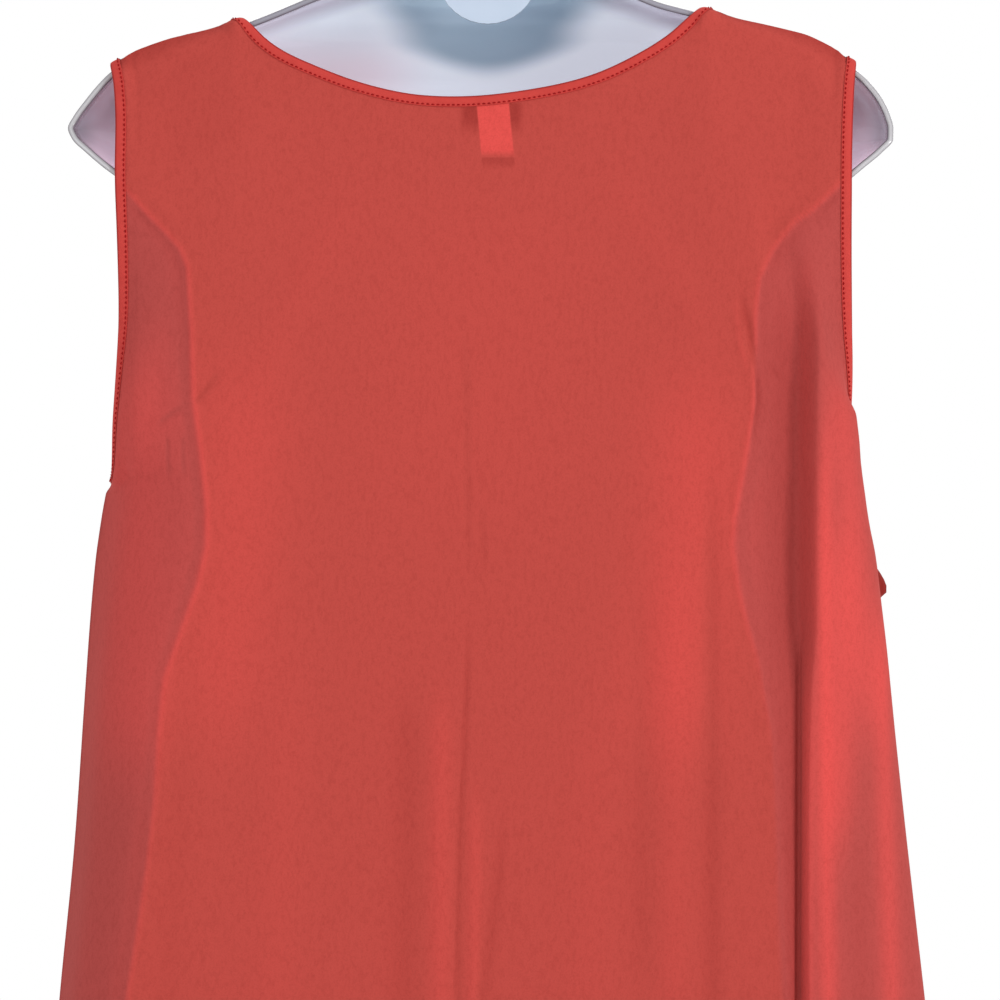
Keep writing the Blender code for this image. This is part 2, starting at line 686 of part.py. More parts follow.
def loop_frames(points, facing, into):
    """For a closed loop: the cloth's facing, and the way from the edge into the cloth."""
    ahead = unit(np.roll(points, -1, axis=0) - np.roll(points, 1, axis=0))
    for _ in range(2):
        facing = unit(facing + 0.5 * np.roll(facing, 1, axis=0) + 0.5 * np.roll(facing, -1, axis=0))
    facing = unit(facing - ahead * np.sum(facing * ahead, axis=1, keepdims=True))
    way = unit(np.cross(facing, ahead))
    flip = np.sign(np.sum(way * into, axis=1, keepdims=True))
    return facing, way * np.where(flip == 0, 1.0, flip)


def settle_loop(form, points, facing, into, rounds=6):
    """Moves an edge out until the strip that is folded over it is clear of the form."""
    low = BINDING_PROUD - BINDING_WALL
    reach = BINDING_WIDTH + BINDING_GAP
    for _ in range(rounds):
        normal, way = loop_frames(points, facing, into)
        moves = np.zeros_like(points)
        for i, (p, n, d) in enumerate(zip(points, normal, way)):
            j = (i + 1) % len(points)
            for along in (0.0, 2.0, 4.0, reach, reach + 2.0, reach + 4.0):
                own = p + d * along + n * low
                beyond = points[j] + way[j] * along + normal[j] * low
                push = back_push if n[1] < -0.6 else push_off
                for part in STRIP_PLACES:
                    step = push(form, own + (beyond - own) * part, BINDING_CLEAR)
                    for k in ((i,) if part == 0.0 else (i, j)):
                        if np.dot(step, step) > np.dot(moves[k], moves[k]):
                            moves[k] = step
        beside = (np.roll(moves, 1, axis=0) + np.roll(moves, -1, axis=0)) / 2
        size = np.linalg.norm(moves, axis=1, keepdims=True)
        points = points + np.where(size > 1e-6, moves, beside * 0.5)
    normal, way = loop_frames(points, facing, into)
    return points, normal, way


def binding_rings(points, facing, way):
    """A folded strip's sections: a flat band that wraps the cloth's edge."""
    top = BINDING_PROUD
    low = BINDING_PROUD - BINDING_WALL
    width = BINDING_WIDTH
    section = (
        (0.0, top - 0.6), (0.7, top), (width / 2, top + 0.1), (width - 0.6, top),
        (width, top - 0.5), (width, low + 0.4), (width - 0.6, low), (0.7, low), (0.0, low + 0.6),
    )
    rings = []
    for p, n, d in zip(points, facing, way):
        rings.append(np.array([p + d * along + n * out for along, out in section]))
    return rings


def build_edges(form):
    """Every edge that the panels and the bindings share: its points, facing and way in."""
    edges = {}
    reach = BINDING_WIDTH + BINDING_GAP
    points, facing, back_count = neck_line(form)
    into = points - points.mean(axis=0)
    points, facing, way = settle_loop(form, points, facing, into)
    edges["neck"] = (points, facing, way)
    line = np.concatenate([points + way * reach, facing, way], axis=1)
    edges["neck_back"] = line[:back_count]
    edges["neck_front"] = np.concatenate([line[back_count - 1 :], line[:1]])[::-1]
    for name, back_table, front_table, side in (
        ("left", LEFT_ARM_BACK, LEFT_ARM_FRONT, -1.0),
        ("right", RIGHT_ARM_BACK, RIGHT_ARM_FRONT, 1.0),
    ):
        points, facing = arm_line(back_table, front_table)
        into = np.tile(np.array((-side, 0.0, -0.8)), (len(points), 1))
        points, facing, way = settle_loop(form, points, facing, into)
        edges["arm_" + name] = (points, facing, way)
        reach = BINDING_WIDTH + ARM_GAP
        line = np.concatenate([points + way * reach, facing, way], axis=1)
        edges["arm_back_" + name] = line[:ARM_COUNT]
        edges["arm_front_" + name] = np.concatenate([line[ARM_COUNT - 1 :], line[:1]])[::-1]
    return edges


def seam_row(z, side):
    """A point of the side seam and the way its cloth faces."""
    left_x, right_x = read(SIDE_OUTLINE, z)
    left_y, right_y, inset = read(SEAM_LINE, z)
    if side < 0:
        return np.array((left_x, left_y, z, -1.0, 0.0, 0.0, 0.0, 0.0, 0.0))
    return np.array((right_x - inset, right_y, z, 1.0, 0.0, 0.0, 0.0, 0.0, 0.0))


def side_boundary(side, arm, gap_y):
    """One side of a panel at each level: the seam below the underarm, the armhole edge above it."""
    under_z = arm[0][2]
    low = [z for z in LEVELS if z <= under_z - 3.0]
    high = [z for z in LEVELS if z > under_z - 3.0]
    found = [seam_row(z, side) for z in low]
    keys = lengths_along(arm[:, :3])
    for part in np.linspace(0, 1, len(high)) ** ARM_EASE:
        where = part * keys[-1]
        found.append(np.array([np.interp(where, keys, arm[:, k]) for k in range(9)]))
    found = np.array(found)
    shift = np.zeros(len(found))
    shift[: len(low) + 1] = gap_y
    shift[-1] = gap_y
    found[:, 1] += shift
    return found[:, :3], unit(found[:, 3:6]), unit(found[:, 6:])


def shoulder_line(start, end, count, outline):
    """The shoulder seam between two corners, at the outline's height."""
    keys = [p[0] for p in outline]
    heights = [p[1] for p in outline]
    part = np.linspace(0, 1, count)
    line = start + (end - start) * part[:, None]
    lifted = np.interp(line[:, 0], keys, heights)
    blend = np.clip(np.minimum(part, 1 - part) * 5.0, 0, 1)
    line[:, 2] += (lifted - line[:, 2]) * blend
    return line


def top_row(left, right, neck, spans, gap_y):
    """A panel's top edge: shoulder, neck and shoulder, with the way its cloth faces."""
    neck = neck.copy()
    neck[0, 1] += gap_y
    neck[-1, 1] += gap_y
    left_top = shoulder_line(left, neck[0, :3], spans[0] + 1, SHOULDER_LEFT)
    right_top = shoulder_line(neck[-1, :3], right, spans[1] + 1, SHOULDER_RIGHT)
    points = np.concatenate([left_top[:-1], neck[:, :3], right_top[1:]])
    up = np.array((0.0, 0.0, 1.0))
    facing = np.concatenate([np.tile(up, (spans[0], 1)), neck[:, 3:6], np.tile(up, (spans[1], 1))])
    facing[spans[0]] = up
    facing[-spans[1] - 1] = up
    return points, facing


def lead_up(grid, from_z):
    """Leads the level rows up to the top row's own line."""
    top = grid[-1, :, 2]
    highest = LEVELS[-1]
    for r in range(len(grid) - 1):
        z = grid[r, 1:-1, 2]
        blend = np.clip((z - from_z) / (highest - from_z), 0, 1) ** 1.5
        grid[r, 1:-1, 2] = z + (top[1:-1] - highest) * blend


def sheared(x, z, left, right):
    """Heights along a row that meets its two edges a little above or below its own level."""
    near_left = np.clip(1 - (x - left[0]) / SHEAR_REACH, 0, 1)
    near_right = np.clip(1 - (right[0] - x) / SHEAR_REACH, 0, 1)
    near_left = near_left**2 * (3 - 2 * near_left)
    near_right = near_right**2 * (3 - 2 * near_right)
    return z + (left[2] - z) * near_left + (right[2] - z) * near_right


def leave_edges(grid, left, left_way, right, right_way):
    """Makes the panel leave its armhole edges in line with the strips folded over them."""
    for side, edge, ways in ((1, left, left_way), (-1, right, right_way)):
        for r in range(len(grid) - 1):
            if not ways[r].any():
                continue
            for c in range(1, grid.shape[1] // 3):
                k = c if side > 0 else grid.shape[1] - 1 - c
                gap = (grid[r, k] - edge[r])[:2]
                way = ways[r, :2]
                flat = float(np.linalg.norm(way))
                size = float(np.linalg.norm(gap))
                in_line = max(0.0, float(np.dot(gap, way)) / max(size * flat, 1e-6))
                blend = max(0.0, 1 - size / EDGE_REACH) ** 1.2 * in_line * flat
                aim = edge[r, :2] + way / max(flat, 1e-6) * size
                grid[r, k, :2] += (aim - grid[r, k, :2]) * blend


def finish_panel(name, parent, form, grid, fixed):
    """Settles a panel on the form and gives it its wall, doubled at the hem."""
    wall = np.full((len(grid), 1, 1), CLOTH_WALL)
    wall[:2] = HEM_WALL
    grid = settle(grid, wall, form, fixed)
    normals = panel_normals(grid, fixed)
    normals[0, :, 2] = 0
    normals = unit(normals)
    inner = grid - normals * wall
    points, faces = sheet_solid(grid, inner)
    make_object(name, points, faces, "cloth", parent)
    return grid, normals


def make_back(parent, edges, form):
    """The back panel, stretched over the rims and hanging beside them."""
    gap_y = -SEAM_GAP / 2
    left, left_facing, left_way = side_boundary(-1, edges["arm_back_left"], gap_y)
    right, right_facing, right_way = side_boundary(1, edges["arm_back_right"], gap_y)
    rows = []
    for r, z in enumerate(LEVELS[:-1]):
        rim_l, crease, rim_r, rim_y, sag, valley, valley_y, ridge, ridge_y = read(BACK_SECTIONS, z)
        a = left[r]
        b = right[r]
        wing = (a[0] + LEFT_WING[0] * (rim_l - a[0]), a[1] + LEFT_WING[1] * (rim_y - a[1]))
        turned = min(1.0, max(0.0, (b[1] + TURN_FROM) / TURN_OVER))
        out, forward, more = RIGHT_WING
        edge_x = ridge + out * (b[0] - ridge)
        edge_x += (read(SIDE_OUTLINE, z)[1] - 1.0 - edge_x) * turned
        edge = (edge_x, b[1] + (forward + more * turned) * (ridge_y - b[1]))
        sagged = rim_y + sag * VALLEY_SAG
        anchors = (
            (a[0], a[1]), wing, (rim_l, rim_y), ((rim_l + crease) / 2, sagged),
            (crease, rim_y + sag), ((rim_r + crease) / 2, sagged), (rim_r, rim_y),
            (valley, valley_y), (ridge, ridge_y), edge, (b[0], b[1]),
        )
        line = through(anchors, BACK_SPANS)
        heights = sheared(line[:, 0], z, a, b)
        rows.append(np.stack([line[:, 0], line[:, 1], heights], axis=1))
    spans = (sum(BACK_SPANS[:2]), sum(BACK_SPANS[6:]))
    top, top_facing = top_row(left[-1], right[-1], edges["neck_back"], spans, gap_y)
    rows.append(top)
    grid = np.array(rows)
    columns = grid.shape[1]
    for r, z in enumerate(LEVELS[:-1]):
        blend = float(np.clip((z - BACK_LEAD_Z) / (LEVELS[-1] - BACK_LEAD_Z), 0, 1)) ** 1.3
        grid[r, 1:-1, 0] += (top[1:-1, 0] - grid[r, 1:-1, 0]) * blend
    lead_up(grid, BACK_LEAD_Z)
    for r, z in enumerate(LEVELS[:-1]):
        if z < BACK_LEAD_Z:
            continue
        rim_y, sag = read(BACK_SECTIONS, z)[3:5]
        for c in range(1, columns - 1):
            x = grid[r, c, 0]
            flat = rim_y + sag * (1 - min(1.0, abs(x) / BACK_SAG_HALF) ** 2)
            grid[r, c, 1] += back_plane(x, grid[r, c, 2]) - flat
    leave_edges(grid, left, left_way, right, right_way)
    for r in range(len(grid) - 1):
        for c in range(1, columns - 1):
            reach = min(1.0, min(c, columns - 1 - c) / 3.0)
            grid[r, c, 1] -= fold_rise(grid[r, c, 0], grid[r, c, 2]) * reach
    fixed = {"left": left_facing, "right": right_facing, "top": top_facing, "side": -1}
    return finish_panel("back_panel", parent, form, grid, fixed)


def make_front(parent, edges, form):
    """The front panel, which lies on the chest and hangs straight from it."""
    gap_y = SEAM_GAP / 2
    left, left_facing, left_way = side_boundary(-1, edges["arm_front_left"], gap_y)
    right, right_facing, right_way = side_boundary(1, edges["arm_front_right"], gap_y)
    columns = FRONT_COLUMNS
    angle = np.linspace(math.pi, 0.0, columns)
    across = np.sign(np.cos(angle)) * np.abs(np.cos(angle)) ** (2.0 / FRONT_POWER)
    part = ((across + 1) / 2)[:, None]
    rows = [a + (b - a) * part for a, b in zip(left[:-1], right[:-1])]
    shoulder = (columns - FRONT_NECK_COLUMNS) // 2
    top, top_facing = top_row(left[-1], right[-1], edges["neck_front"], (shoulder, shoulder), gap_y)
    rows.append(top)
    grid = np.array(rows)
    for r, z in enumerate(LEVELS[:-1]):
        blend = float(np.clip((z - FRONT_LEAD_Z) / (LEVELS[-1] - FRONT_LEAD_Z), 0, 1)) ** 1.5
        grid[r, 1:-1, 0] += (top[1:-1, 0] - grid[r, 1:-1, 0]) * blend
        grid[r, 1:-1, 2] = sheared(grid[r, 1:-1, 0], z, left[r], right[r])
    lead_up(grid, FRONT_LIFT_Z)
    for r in range(len(grid) - 1):
        for c in range(1, columns - 1):
            x, _, z = grid[r, c]
            side_y, roundness = read(FRONT_SIDE, z)
            share = min(1.0, abs(2 * (x - left[r, 0]) / (right[r, 0] - left[r, 0]) - 1))
            out = (1 - share**FRONT_POWER) ** roundness
            left_pull = math.exp(-(((x - left[r, 0]) / SIDE_PULL) ** 2))
            right_pull = math.exp(-(((x - right[r, 0]) / SIDE_PULL) ** 2))
            base = side_y + (left[r, 1] - side_y) * left_pull + (right[r, 1] - side_y) * right_pull
            y = base + (read(FRONT_MIDDLE, z)[0] - base) * out
            hit = form[0].ray_cast(Vector((x, FAR_FRONT, z)), Vector((0, -1, 0)))[0]
            if hit is not None:
                y = max(y, hit.y + CLOTH_CLEAR + CLOTH_WALL)
            grid[r, c, 1] = y
    leave_edges(grid, left, left_way, right, right_way)
    fixed = {"left": left_facing, "right": right_facing, "top": top_facing, "side": 1}
    return finish_panel("front_panel", parent, form, grid, fixed)


def make_bindings(parent, edges):
    for name, key in (
        ("neck_binding", "neck"),
        ("armhole_binding_left", "arm_left"),
        ("armhole_binding_right", "arm_right"),
    ):
        points, facing, way = edges[key]
        solid, faces = ring_solid(binding_rings(points, facing, way))
        make_object(name, solid, faces, "binding", parent, smooth_angle=60.0)


def make_label(parent, name, grid, size, middle_x, top_z, layer):
    """A plain label that follows the back panel's inner face, so many layers in from it."""
    rows, columns = grid.shape[:2]
    rows_in = 3 + int(size[1] / 4)
    faces = []
    for r in range(rows - 1):
        for c in range(columns - 1):
            a = r * columns + c
            faces.append((a, a + 1, a + columns + 1, a + columns))
    tree = BVHTree.FromPolygons([Vector(p) for p in grid.reshape(-1, 3)], faces)
    depth = CLOTH_WALL + PIECE_GAP + layer * (LABEL_WALL + 2 * PIECE_GAP) + LABEL_SLACK
    near = []
    for z in np.linspace(top_z - size[1], top_z, rows_in):
        row = []
        for x in np.linspace(middle_x - size[0] / 2, middle_x + size[0] / 2, 7):
            hit, normal, _, _ = tree.ray_cast(Vector((x, FAR_BACK, z)), Vector((0, 1, 0)))
            row.append((x, hit.y + depth / max(0.5, abs(normal.y)), z))
        near.append(row)
    near = np.array(near)
    far = near + np.array((0.0, LABEL_WALL, 0.0))
    points, faces = sheet_solid(near, far)
    make_object(name, points, faces, "label", parent)


def build():
    for old in list(bpy.data.objects):
        bpy.data.objects.remove(old, do_unlink=True)
    root = bpy.data.objects.new("blouse_on_form", None)
    bpy.context.collection.objects.link(root)
    form = form_skin()
    edges = build_edges(form)
    make_form(root)
    make_floor(root)
    make_neck_cap(root)
    make_tongue(root)
    grid, _ = make_back(root, edges, form)
    make_front(root, edges, form)
    make_bindings(root, edges)
    make_label(root, "neck_label", grid, (LABEL_WIDTH, LABEL_HEIGHT), LABEL_X, LABEL_TOP_Z, 0)
    make_label(root, "size_tab", grid, (TAB_WIDTH, TAB_HEIGHT), TAB_X, LABEL_TOP_Z - 0.5, 1)


build()
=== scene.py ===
import math

import bpy
import bmesh
import numpy as np
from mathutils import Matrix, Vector
from mathutils.bvhtree import BVHTree
from mathutils.kdtree import KDTree


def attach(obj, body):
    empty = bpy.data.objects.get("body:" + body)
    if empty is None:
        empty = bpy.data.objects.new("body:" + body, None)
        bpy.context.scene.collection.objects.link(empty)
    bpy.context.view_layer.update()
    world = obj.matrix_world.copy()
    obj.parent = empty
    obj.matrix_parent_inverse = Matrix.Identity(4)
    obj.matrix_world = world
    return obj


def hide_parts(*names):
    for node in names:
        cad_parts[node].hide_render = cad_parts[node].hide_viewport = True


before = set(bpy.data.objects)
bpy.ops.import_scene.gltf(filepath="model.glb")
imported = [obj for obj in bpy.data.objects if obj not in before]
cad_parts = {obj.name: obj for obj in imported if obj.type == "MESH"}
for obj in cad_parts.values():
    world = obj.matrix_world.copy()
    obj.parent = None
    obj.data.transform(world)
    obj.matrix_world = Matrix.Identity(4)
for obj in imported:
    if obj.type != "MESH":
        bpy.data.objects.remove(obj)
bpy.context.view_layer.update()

mm = 0.001  # the tables below are in millimetres, the meshes in metres
curveSteps = 1200       # how finely a curve is measured before points are spread along it


# a wire wraps a socket, and an expression on wires adds its nodes
class Wire:
    def __init__(self, tree, socket=None):
        self.tree, self.socket = tree, socket

    def node(self, kind, settings=None, inputs=None, out=0):
        made = self.tree.nodes.new(kind)
        for key, value in (settings or {}).items():
            setattr(made, key, value)
        for key, value in (inputs or {}).items():
            if isinstance(value, Wire):
                self.tree.links.new(value.socket, made.inputs[key])
            else:
                made.inputs[key].default_value = value
        return Wire(self.tree, made.outputs[out])

    def maths(self, operation, *values):
        return self.node("ShaderNodeMath", {"operation": operation}, dict(enumerate(values)))

    def __add__(self, other):
        return self.maths("ADD", self, other)

    def __radd__(self, other):
        return self.maths("ADD", other, self)

    def __sub__(self, other):
        return self.maths("SUBTRACT", self, other)

    def __rsub__(self, other):
        return self.maths("SUBTRACT", other, self)

    def __mul__(self, other):
        return self.maths("MULTIPLY", self, other)

    def __rmul__(self, other):
        return self.maths("MULTIPLY", other, self)

    def __abs__(self):
        return self.maths("ABSOLUTE", self)

    def step(self, low, high):
        inputs = {"Value": self, "From Min": low, "From Max": high}
        return self.node("ShaderNodeMapRange", {"interpolation_type": "SMOOTHSTEP"}, inputs)

    def blend(self, first, second, how="MIX"):
        settings = {"data_type": "RGBA", "blend_type": how}
        return self.node("ShaderNodeMix", settings, {0: self, 6: first, 7: second}, out=2)

    def stain(self, first, second):
        return self.blend(first, second, "MULTIPLY")


def colour(red, green, blue):
    return (red, green, blue, 1.0)


def newMaterial(name, rough, settings=None):
    material = bpy.data.materials.new(name)
    material.use_nodes = True
    tree = material.node_tree
    shader = tree.nodes["Principled BSDF"]
    shader.inputs["Roughness"].default_value = rough
    for key, value in (settings or {}).items():
        shader.inputs[key].default_value = value
    return material, shader, Wire(tree).node("ShaderNodeTexCoord", out="Object")


def feed(shader, wires):
    for key, wire in wires.items():
        wire.tree.links.new(wire.socket, shader.inputs[key])


# x, y and z in millimetres
def axes(place):
    split = place.node("ShaderNodeSeparateXYZ", None, {0: place})
    return [Wire(place.tree, socket) * (1 / mm) for socket in split.socket.node.outputs]


def stored(place, name):
    return place.node("ShaderNodeAttribute", {"attribute_name": name}, out=2)


def noise(place, scale, detail=2.0, rough=0.5, stretch=None):
    where = place
    if stretch:
        where = place.node("ShaderNodeMapping", None, {"Vector": place, "Scale": stretch})
    inputs = {"Vector": where, "Scale": scale, "Detail": detail, "Roughness": rough}
    return where.node("ShaderNodeTexNoise", None, inputs)


def bump(height, strength, distance):
    inputs = {"Strength": strength, "Distance": distance, "Height": height}
    return height.node("ShaderNodeBump", None, inputs)


# the camera, the room and the lights
view = {
    "x": 9.4, "height": 460.0,      # what the middle of the picture looks at
    "plane": -35.0,                 # the back of the blouse
    "distance": 5000.0, "across": 520.0,
}
camera = bpy.data.objects.new("camera", bpy.data.cameras.new("camera"))
bpy.context.scene.collection.objects.link(camera)
camera.location = Vector((view["x"], view["plane"] - view["distance"], view["height"])) * mm
camera.rotation_euler = (math.radians(90), 0, 0)
camera.data.sensor_width = 36.0
camera.data.lens = camera.data.sensor_width * view["distance"] / view["across"]
camera.data.clip_end = 60.0
bpy.context.scene.camera = camera
bpy.context.scene.view_settings.view_transform = "Standard"

room = {
    "paper": (0.93, 0.93, 0.935), "paperLow": (0.90, 0.90, 0.905),
    "floorRadius": 2600.0, "floorZ": -1.0, "floorSides": 96,
    "glow": 0.62,                                  # the soft light from all round
    "wall": 1.0, "wallEdge": (0.95, 0.985),        # the white wall behind, by how straight it is ahead
}
world = bpy.data.worlds.new("studio")
bpy.context.scene.world = world
world.use_nodes = True
background = world.node_tree.nodes["Background"]
background.inputs["Color"].default_value = (1.0, 1.0, 1.0, 1.0)
ahead = Wire(world.node_tree).node("ShaderNodeTexCoord", out="Generated")
ahead = ahead.node("ShaderNodeSeparateXYZ", None, {0: ahead}, out="Y").step(*room["wallEdge"])
feed(background, {"Strength": ahead * (room["wall"] - room["glow"]) + room["glow"]})

softboxes = [
    # name, place, aim, size, power, colour
    ("key", (2.5, -2.1, 1.3), (0.0, 0.0, 0.45), 1.0, 42.0, (1.0, 0.99, 0.98)),
    ("fill", (-1.9, -2.5, 0.9), (0.0, 0.0, 0.45), 1.6, 12.0, (0.97, 0.98, 1.0)),
    ("top", (0.2, 0.4, 2.6), (0.0, 0.0, 0.5), 1.8, 10.0, (1.0, 1.0, 1.0)),
    ("back", (0.3, 2.8, 1.5), (0.0, 0.0, 0.45), 1.8, 18.0, (1.0, 1.0, 1.0)),
]
for name, place, aim, size, power, tone in softboxes:
    lamp = bpy.data.objects.new("light_" + name, bpy.data.lights.new("light_" + name, "AREA"))
    bpy.context.scene.collection.objects.link(lamp)
    lamp.location = place
    lamp.rotation_euler = (Vector(aim) - Vector(place)).to_track_quat("-Z", "Y").to_euler()
    lamp.data.shape = "DISK"
    lamp.data.size = size
    lamp.data.energy = power
    lamp.data.color = tone
print("camera and lights are set")


# curves and grids
def slopes(keys, values):
    steps = np.diff(keys)
    rises = np.diff(values, axis=0) / steps[:, None]
    found = np.zeros_like(values)
    found[0], found[-1] = rises[0], rises[-1]
    for i in range(1, len(keys) - 1):
        before, after = rises[i - 1], rises[i]
        sameWay = before * after > 0
        mean = 2.0 * before * after / np.where(sameWay, before + after, 1.0)
        found[i] = np.where(sameWay, mean, 0.0)
    return found


# a smooth curve through the values, with no overshoot, read at each key in where
def curveAt(keys, values, where):
    keys, values = np.asarray(keys, float), np.asarray(values, float)
    where = np.clip(np.atleast_1d(np.asarray(where, float)), keys[0], keys[-1])
    bends = slopes(keys, values)
    left = np.clip(np.searchsorted(keys, where, side="right") - 1, 0, len(keys) - 2)
    span = (keys[left + 1] - keys[left])[:, None]
    t = (where[:, None] - keys[left][:, None]) / span
    start = (1 + 2 * t) * (1 - t) ** 2 * values[left] + t * (1 - t) ** 2 * span * bends[left]
    end = t * t * (3 - 2 * t) * values[left + 1] + t * t * (t - 1) * span * bends[left + 1]
    return start + end


# the columns of a table at any heights; its first column is the height
def readAll(table, heights):
    rows = np.asarray(table, float)
    return curveAt(rows[:, 0], rows[:, 1:], heights)


def lengthsAlong(points):
    steps = np.linalg.norm(np.diff(points, axis=0), axis=1)
    return np.concatenate([[0.0], np.cumsum(steps)])


# a line's values at places along it
def lineAt(line, keys, where):
    return np.stack([np.interp(where, keys, column) for column in line.T], axis=-1)


def resample(line, count):
    return lineAt(line, np.arange(len(line)), np.linspace(0, len(line) - 1, count))


# points along the smooth curve through these, closer together at its ends by ease
def spread(points, count, ease=0.0):
    points = np.asarray(points, float)
    keys = lengthsAlong(points[:, :3])
    fine = curveAt(keys, points, np.linspace(0, keys[-1], curveSteps))
    fineKeys = lengthsAlong(fine[:, :3])
    part = np.linspace(0, 1, count)
    part = part - ease * np.sin(2 * math.pi * part) / (2 * math.pi)
    return lineAt(fine, fineKeys, part * fineKeys[-1])


def unit(vectors):
    size = np.linalg.norm(vectors, axis=-1, keepdims=True)
    return vectors / np.where(size < 1e-9, 1.0, size)


# a grid's normals, on the side where the one at its middle points along side * y
def gridNormals(grid, side):
    normals = unit(np.cross(np.gradient(grid, axis=1), np.gradient(grid, axis=0)))
    return -normals if normals[len(grid) // 2, grid.shape[1] // 2, 1] * side < 0 else normals


def closed(loop):
    return np.concatenate([loop, loop[:1]])


def squared(values, power):
    return np.sign(values) * np.abs(values) ** (2.0 / power)


def smoothStep(low, high, value):
    t = np.clip((np.asarray(value, float) - low) / (high - low), 0, 1)
    return t * t * (3 - 2 * t)


def makeMesh(name, points, faces, material, smooth=True):
    mesh = bpy.data.meshes.new(name)
    mesh.from_pydata((np.asarray(points, float) * mm).tolist(), [], faces)
    mesh.update()
    if smooth:
        mesh.shade_smooth()
    piece = bpy.data.objects.new(name, mesh)
    bpy.context.scene.collection.objects.link(piece)
    mesh.materials.append(material)
    return piece


# faces over a grid of points; loop joins its last column to the first, ring its last row
def gridFaces(rows, columns, flip=False, loop=False, ring=False):
    starts = np.arange(rows if ring else rows - 1), np.arange(columns if loop else columns - 1)
    r, c = np.meshgrid(*starts, indexing="ij")
    above, beside = (r + 1) % rows * columns, (c + 1) % columns
    quads = np.stack([r * columns + c, r * columns + beside, above + beside, above + c], axis=-1)
    quads = quads.reshape(-1, 4)
    return (quads[:, ::-1] if flip else quads).tolist()


def storeValues(piece, name, values):
    layer = piece.data.attributes.new(name, "FLOAT", "POINT")
    layer.data.foreach_set("value", np.asarray(values, dtype=np.float32).ravel())


# sizes and sections, in millimetres, as the solids have them
cloth = {"wall": 1.2, "clear": 0.9, "hem": 25.0, "bend": 6.0}     # bend: over the neck's edge
binding = {"width": 5.6, "wall": 2.0, "proud": 0.4, "gap": 0.7, "clear": 0.6}
form = {
    "wall": 3.0, "beadDrop": 2.6, "beadMiddle": 1.7, "power": 2.3, "shoulder": 712.0,
    "reach": 15.0, "rimSkip": 0.8,      # from how far cloth is pushed off it, but not this near its rim
}

# The form's outline seen from the back: height, x of the left side.
formLeft = (
    (0, -188), (60, -190), (120, -189), (200, -182), (280, -172), (340, -167), (400, -155),
    (445, -143), (490, -147), (550, -151), (580, -153), (600, -158), (613, -170), (625, -186),
    (633, -197), (641, -206.4), (648, -213.6), (654, -216), (660, -213.2), (669, -206.8),
    (679, -198.6), (684, -193.2), (687.5, -186), (694.5, -172), (700.3, -154.5), (704.3, -137),
    (709.6, -121.7), (720, -96), (728, -78), (740, -64), (756, -57), (780, -55), (812, -55),
)

# The same for the right side.
formRight = (
    (0, 163), (60, 164), (120, 162), (200, 157), (280, 153), (340, 149), (400, 136),
    (445, 131), (490, 137.5), (550, 142.5), (580, 146), (600, 160), (613, 175), (625, 189.5),
    (633, 199), (641, 208.5), (648, 214.4), (654, 214.6), (660, 213.2), (669, 209.2),
    (679, 201.6), (684, 196), (687.8, 190), (693.4, 181), (699.0, 170), (703.6, 154.7),
    (706.6, 139.5), (714.3, 114), (720.5, 91), (728, 75), (740, 61), (756, 54), (780, 52), (812, 52),
)

# The form's sections: height, y of the rim, depth from the rim to the front.
formDepth = (
    (0, -30, 118), (60, -30, 124), (120, -30, 128), (200, -30, 130), (280, -30, 125),
    (340, -30, 115), (400, -30, 104), (445, -30, 101), (490, -30, 113), (550, -30, 126),
    (580, -30, 124), (600, -30, 118), (628, -27, 106), (641, -24, 99), (654, -20, 91),
    (669, -16, 82), (685, -12, 72), (696, -12, 64), (706, -12, 56), (714, -12, 49),
    (722, -13, 46), (730, -15, 47), (742, -18, 51), (758, -20, 57), (780, -21, 60), (812, -21, 61),
)
formLevels = (
    0, 35, 75, 115, 155, 195, 235, 275, 310, 345, 375, 400, 425, 447, 472, 500, 530, 556, 577, 592,
    603, 613, 622, 630, 637, 643, 648, 654, 661, 669, 677, 684, 689, 693.5, 698, 702, 705.5, 709,
    713, 718, 724, 731, 740, 753, 772, 792, 812,
)

# The rolled rim's section: how far in from the outline, how far behind the rim's plane.
bead = ((0.1, -1.5), (0.7, -form["beadDrop"]), (2.6, -form["beadDrop"]), (3.2, -1.5), (3.2, 1.0))

# The blouse's outline seen from the back: height, left x, right x.
sideOutline = (
    (25, -237, 252.2), (100, -230, 243.3), (200, -221.8, 231.9), (280, -214, 222.8),
    (360, -208.4, 214), (400, -205.5, 209.6), (430, -202.7, 206.6), (445, -200.6, 203.6),
    (455, -199, 202), (465, -197.1, 200.8), (473, -195.5, 199.8), (490, -194.2, 197.6),
    (510, -192.6, 195), (530, -191, 193.2),
    (560, -188, 191.5), (600, -187.5, 191.2), (650, -188.9, 192.8), (700, -190, 193),
)

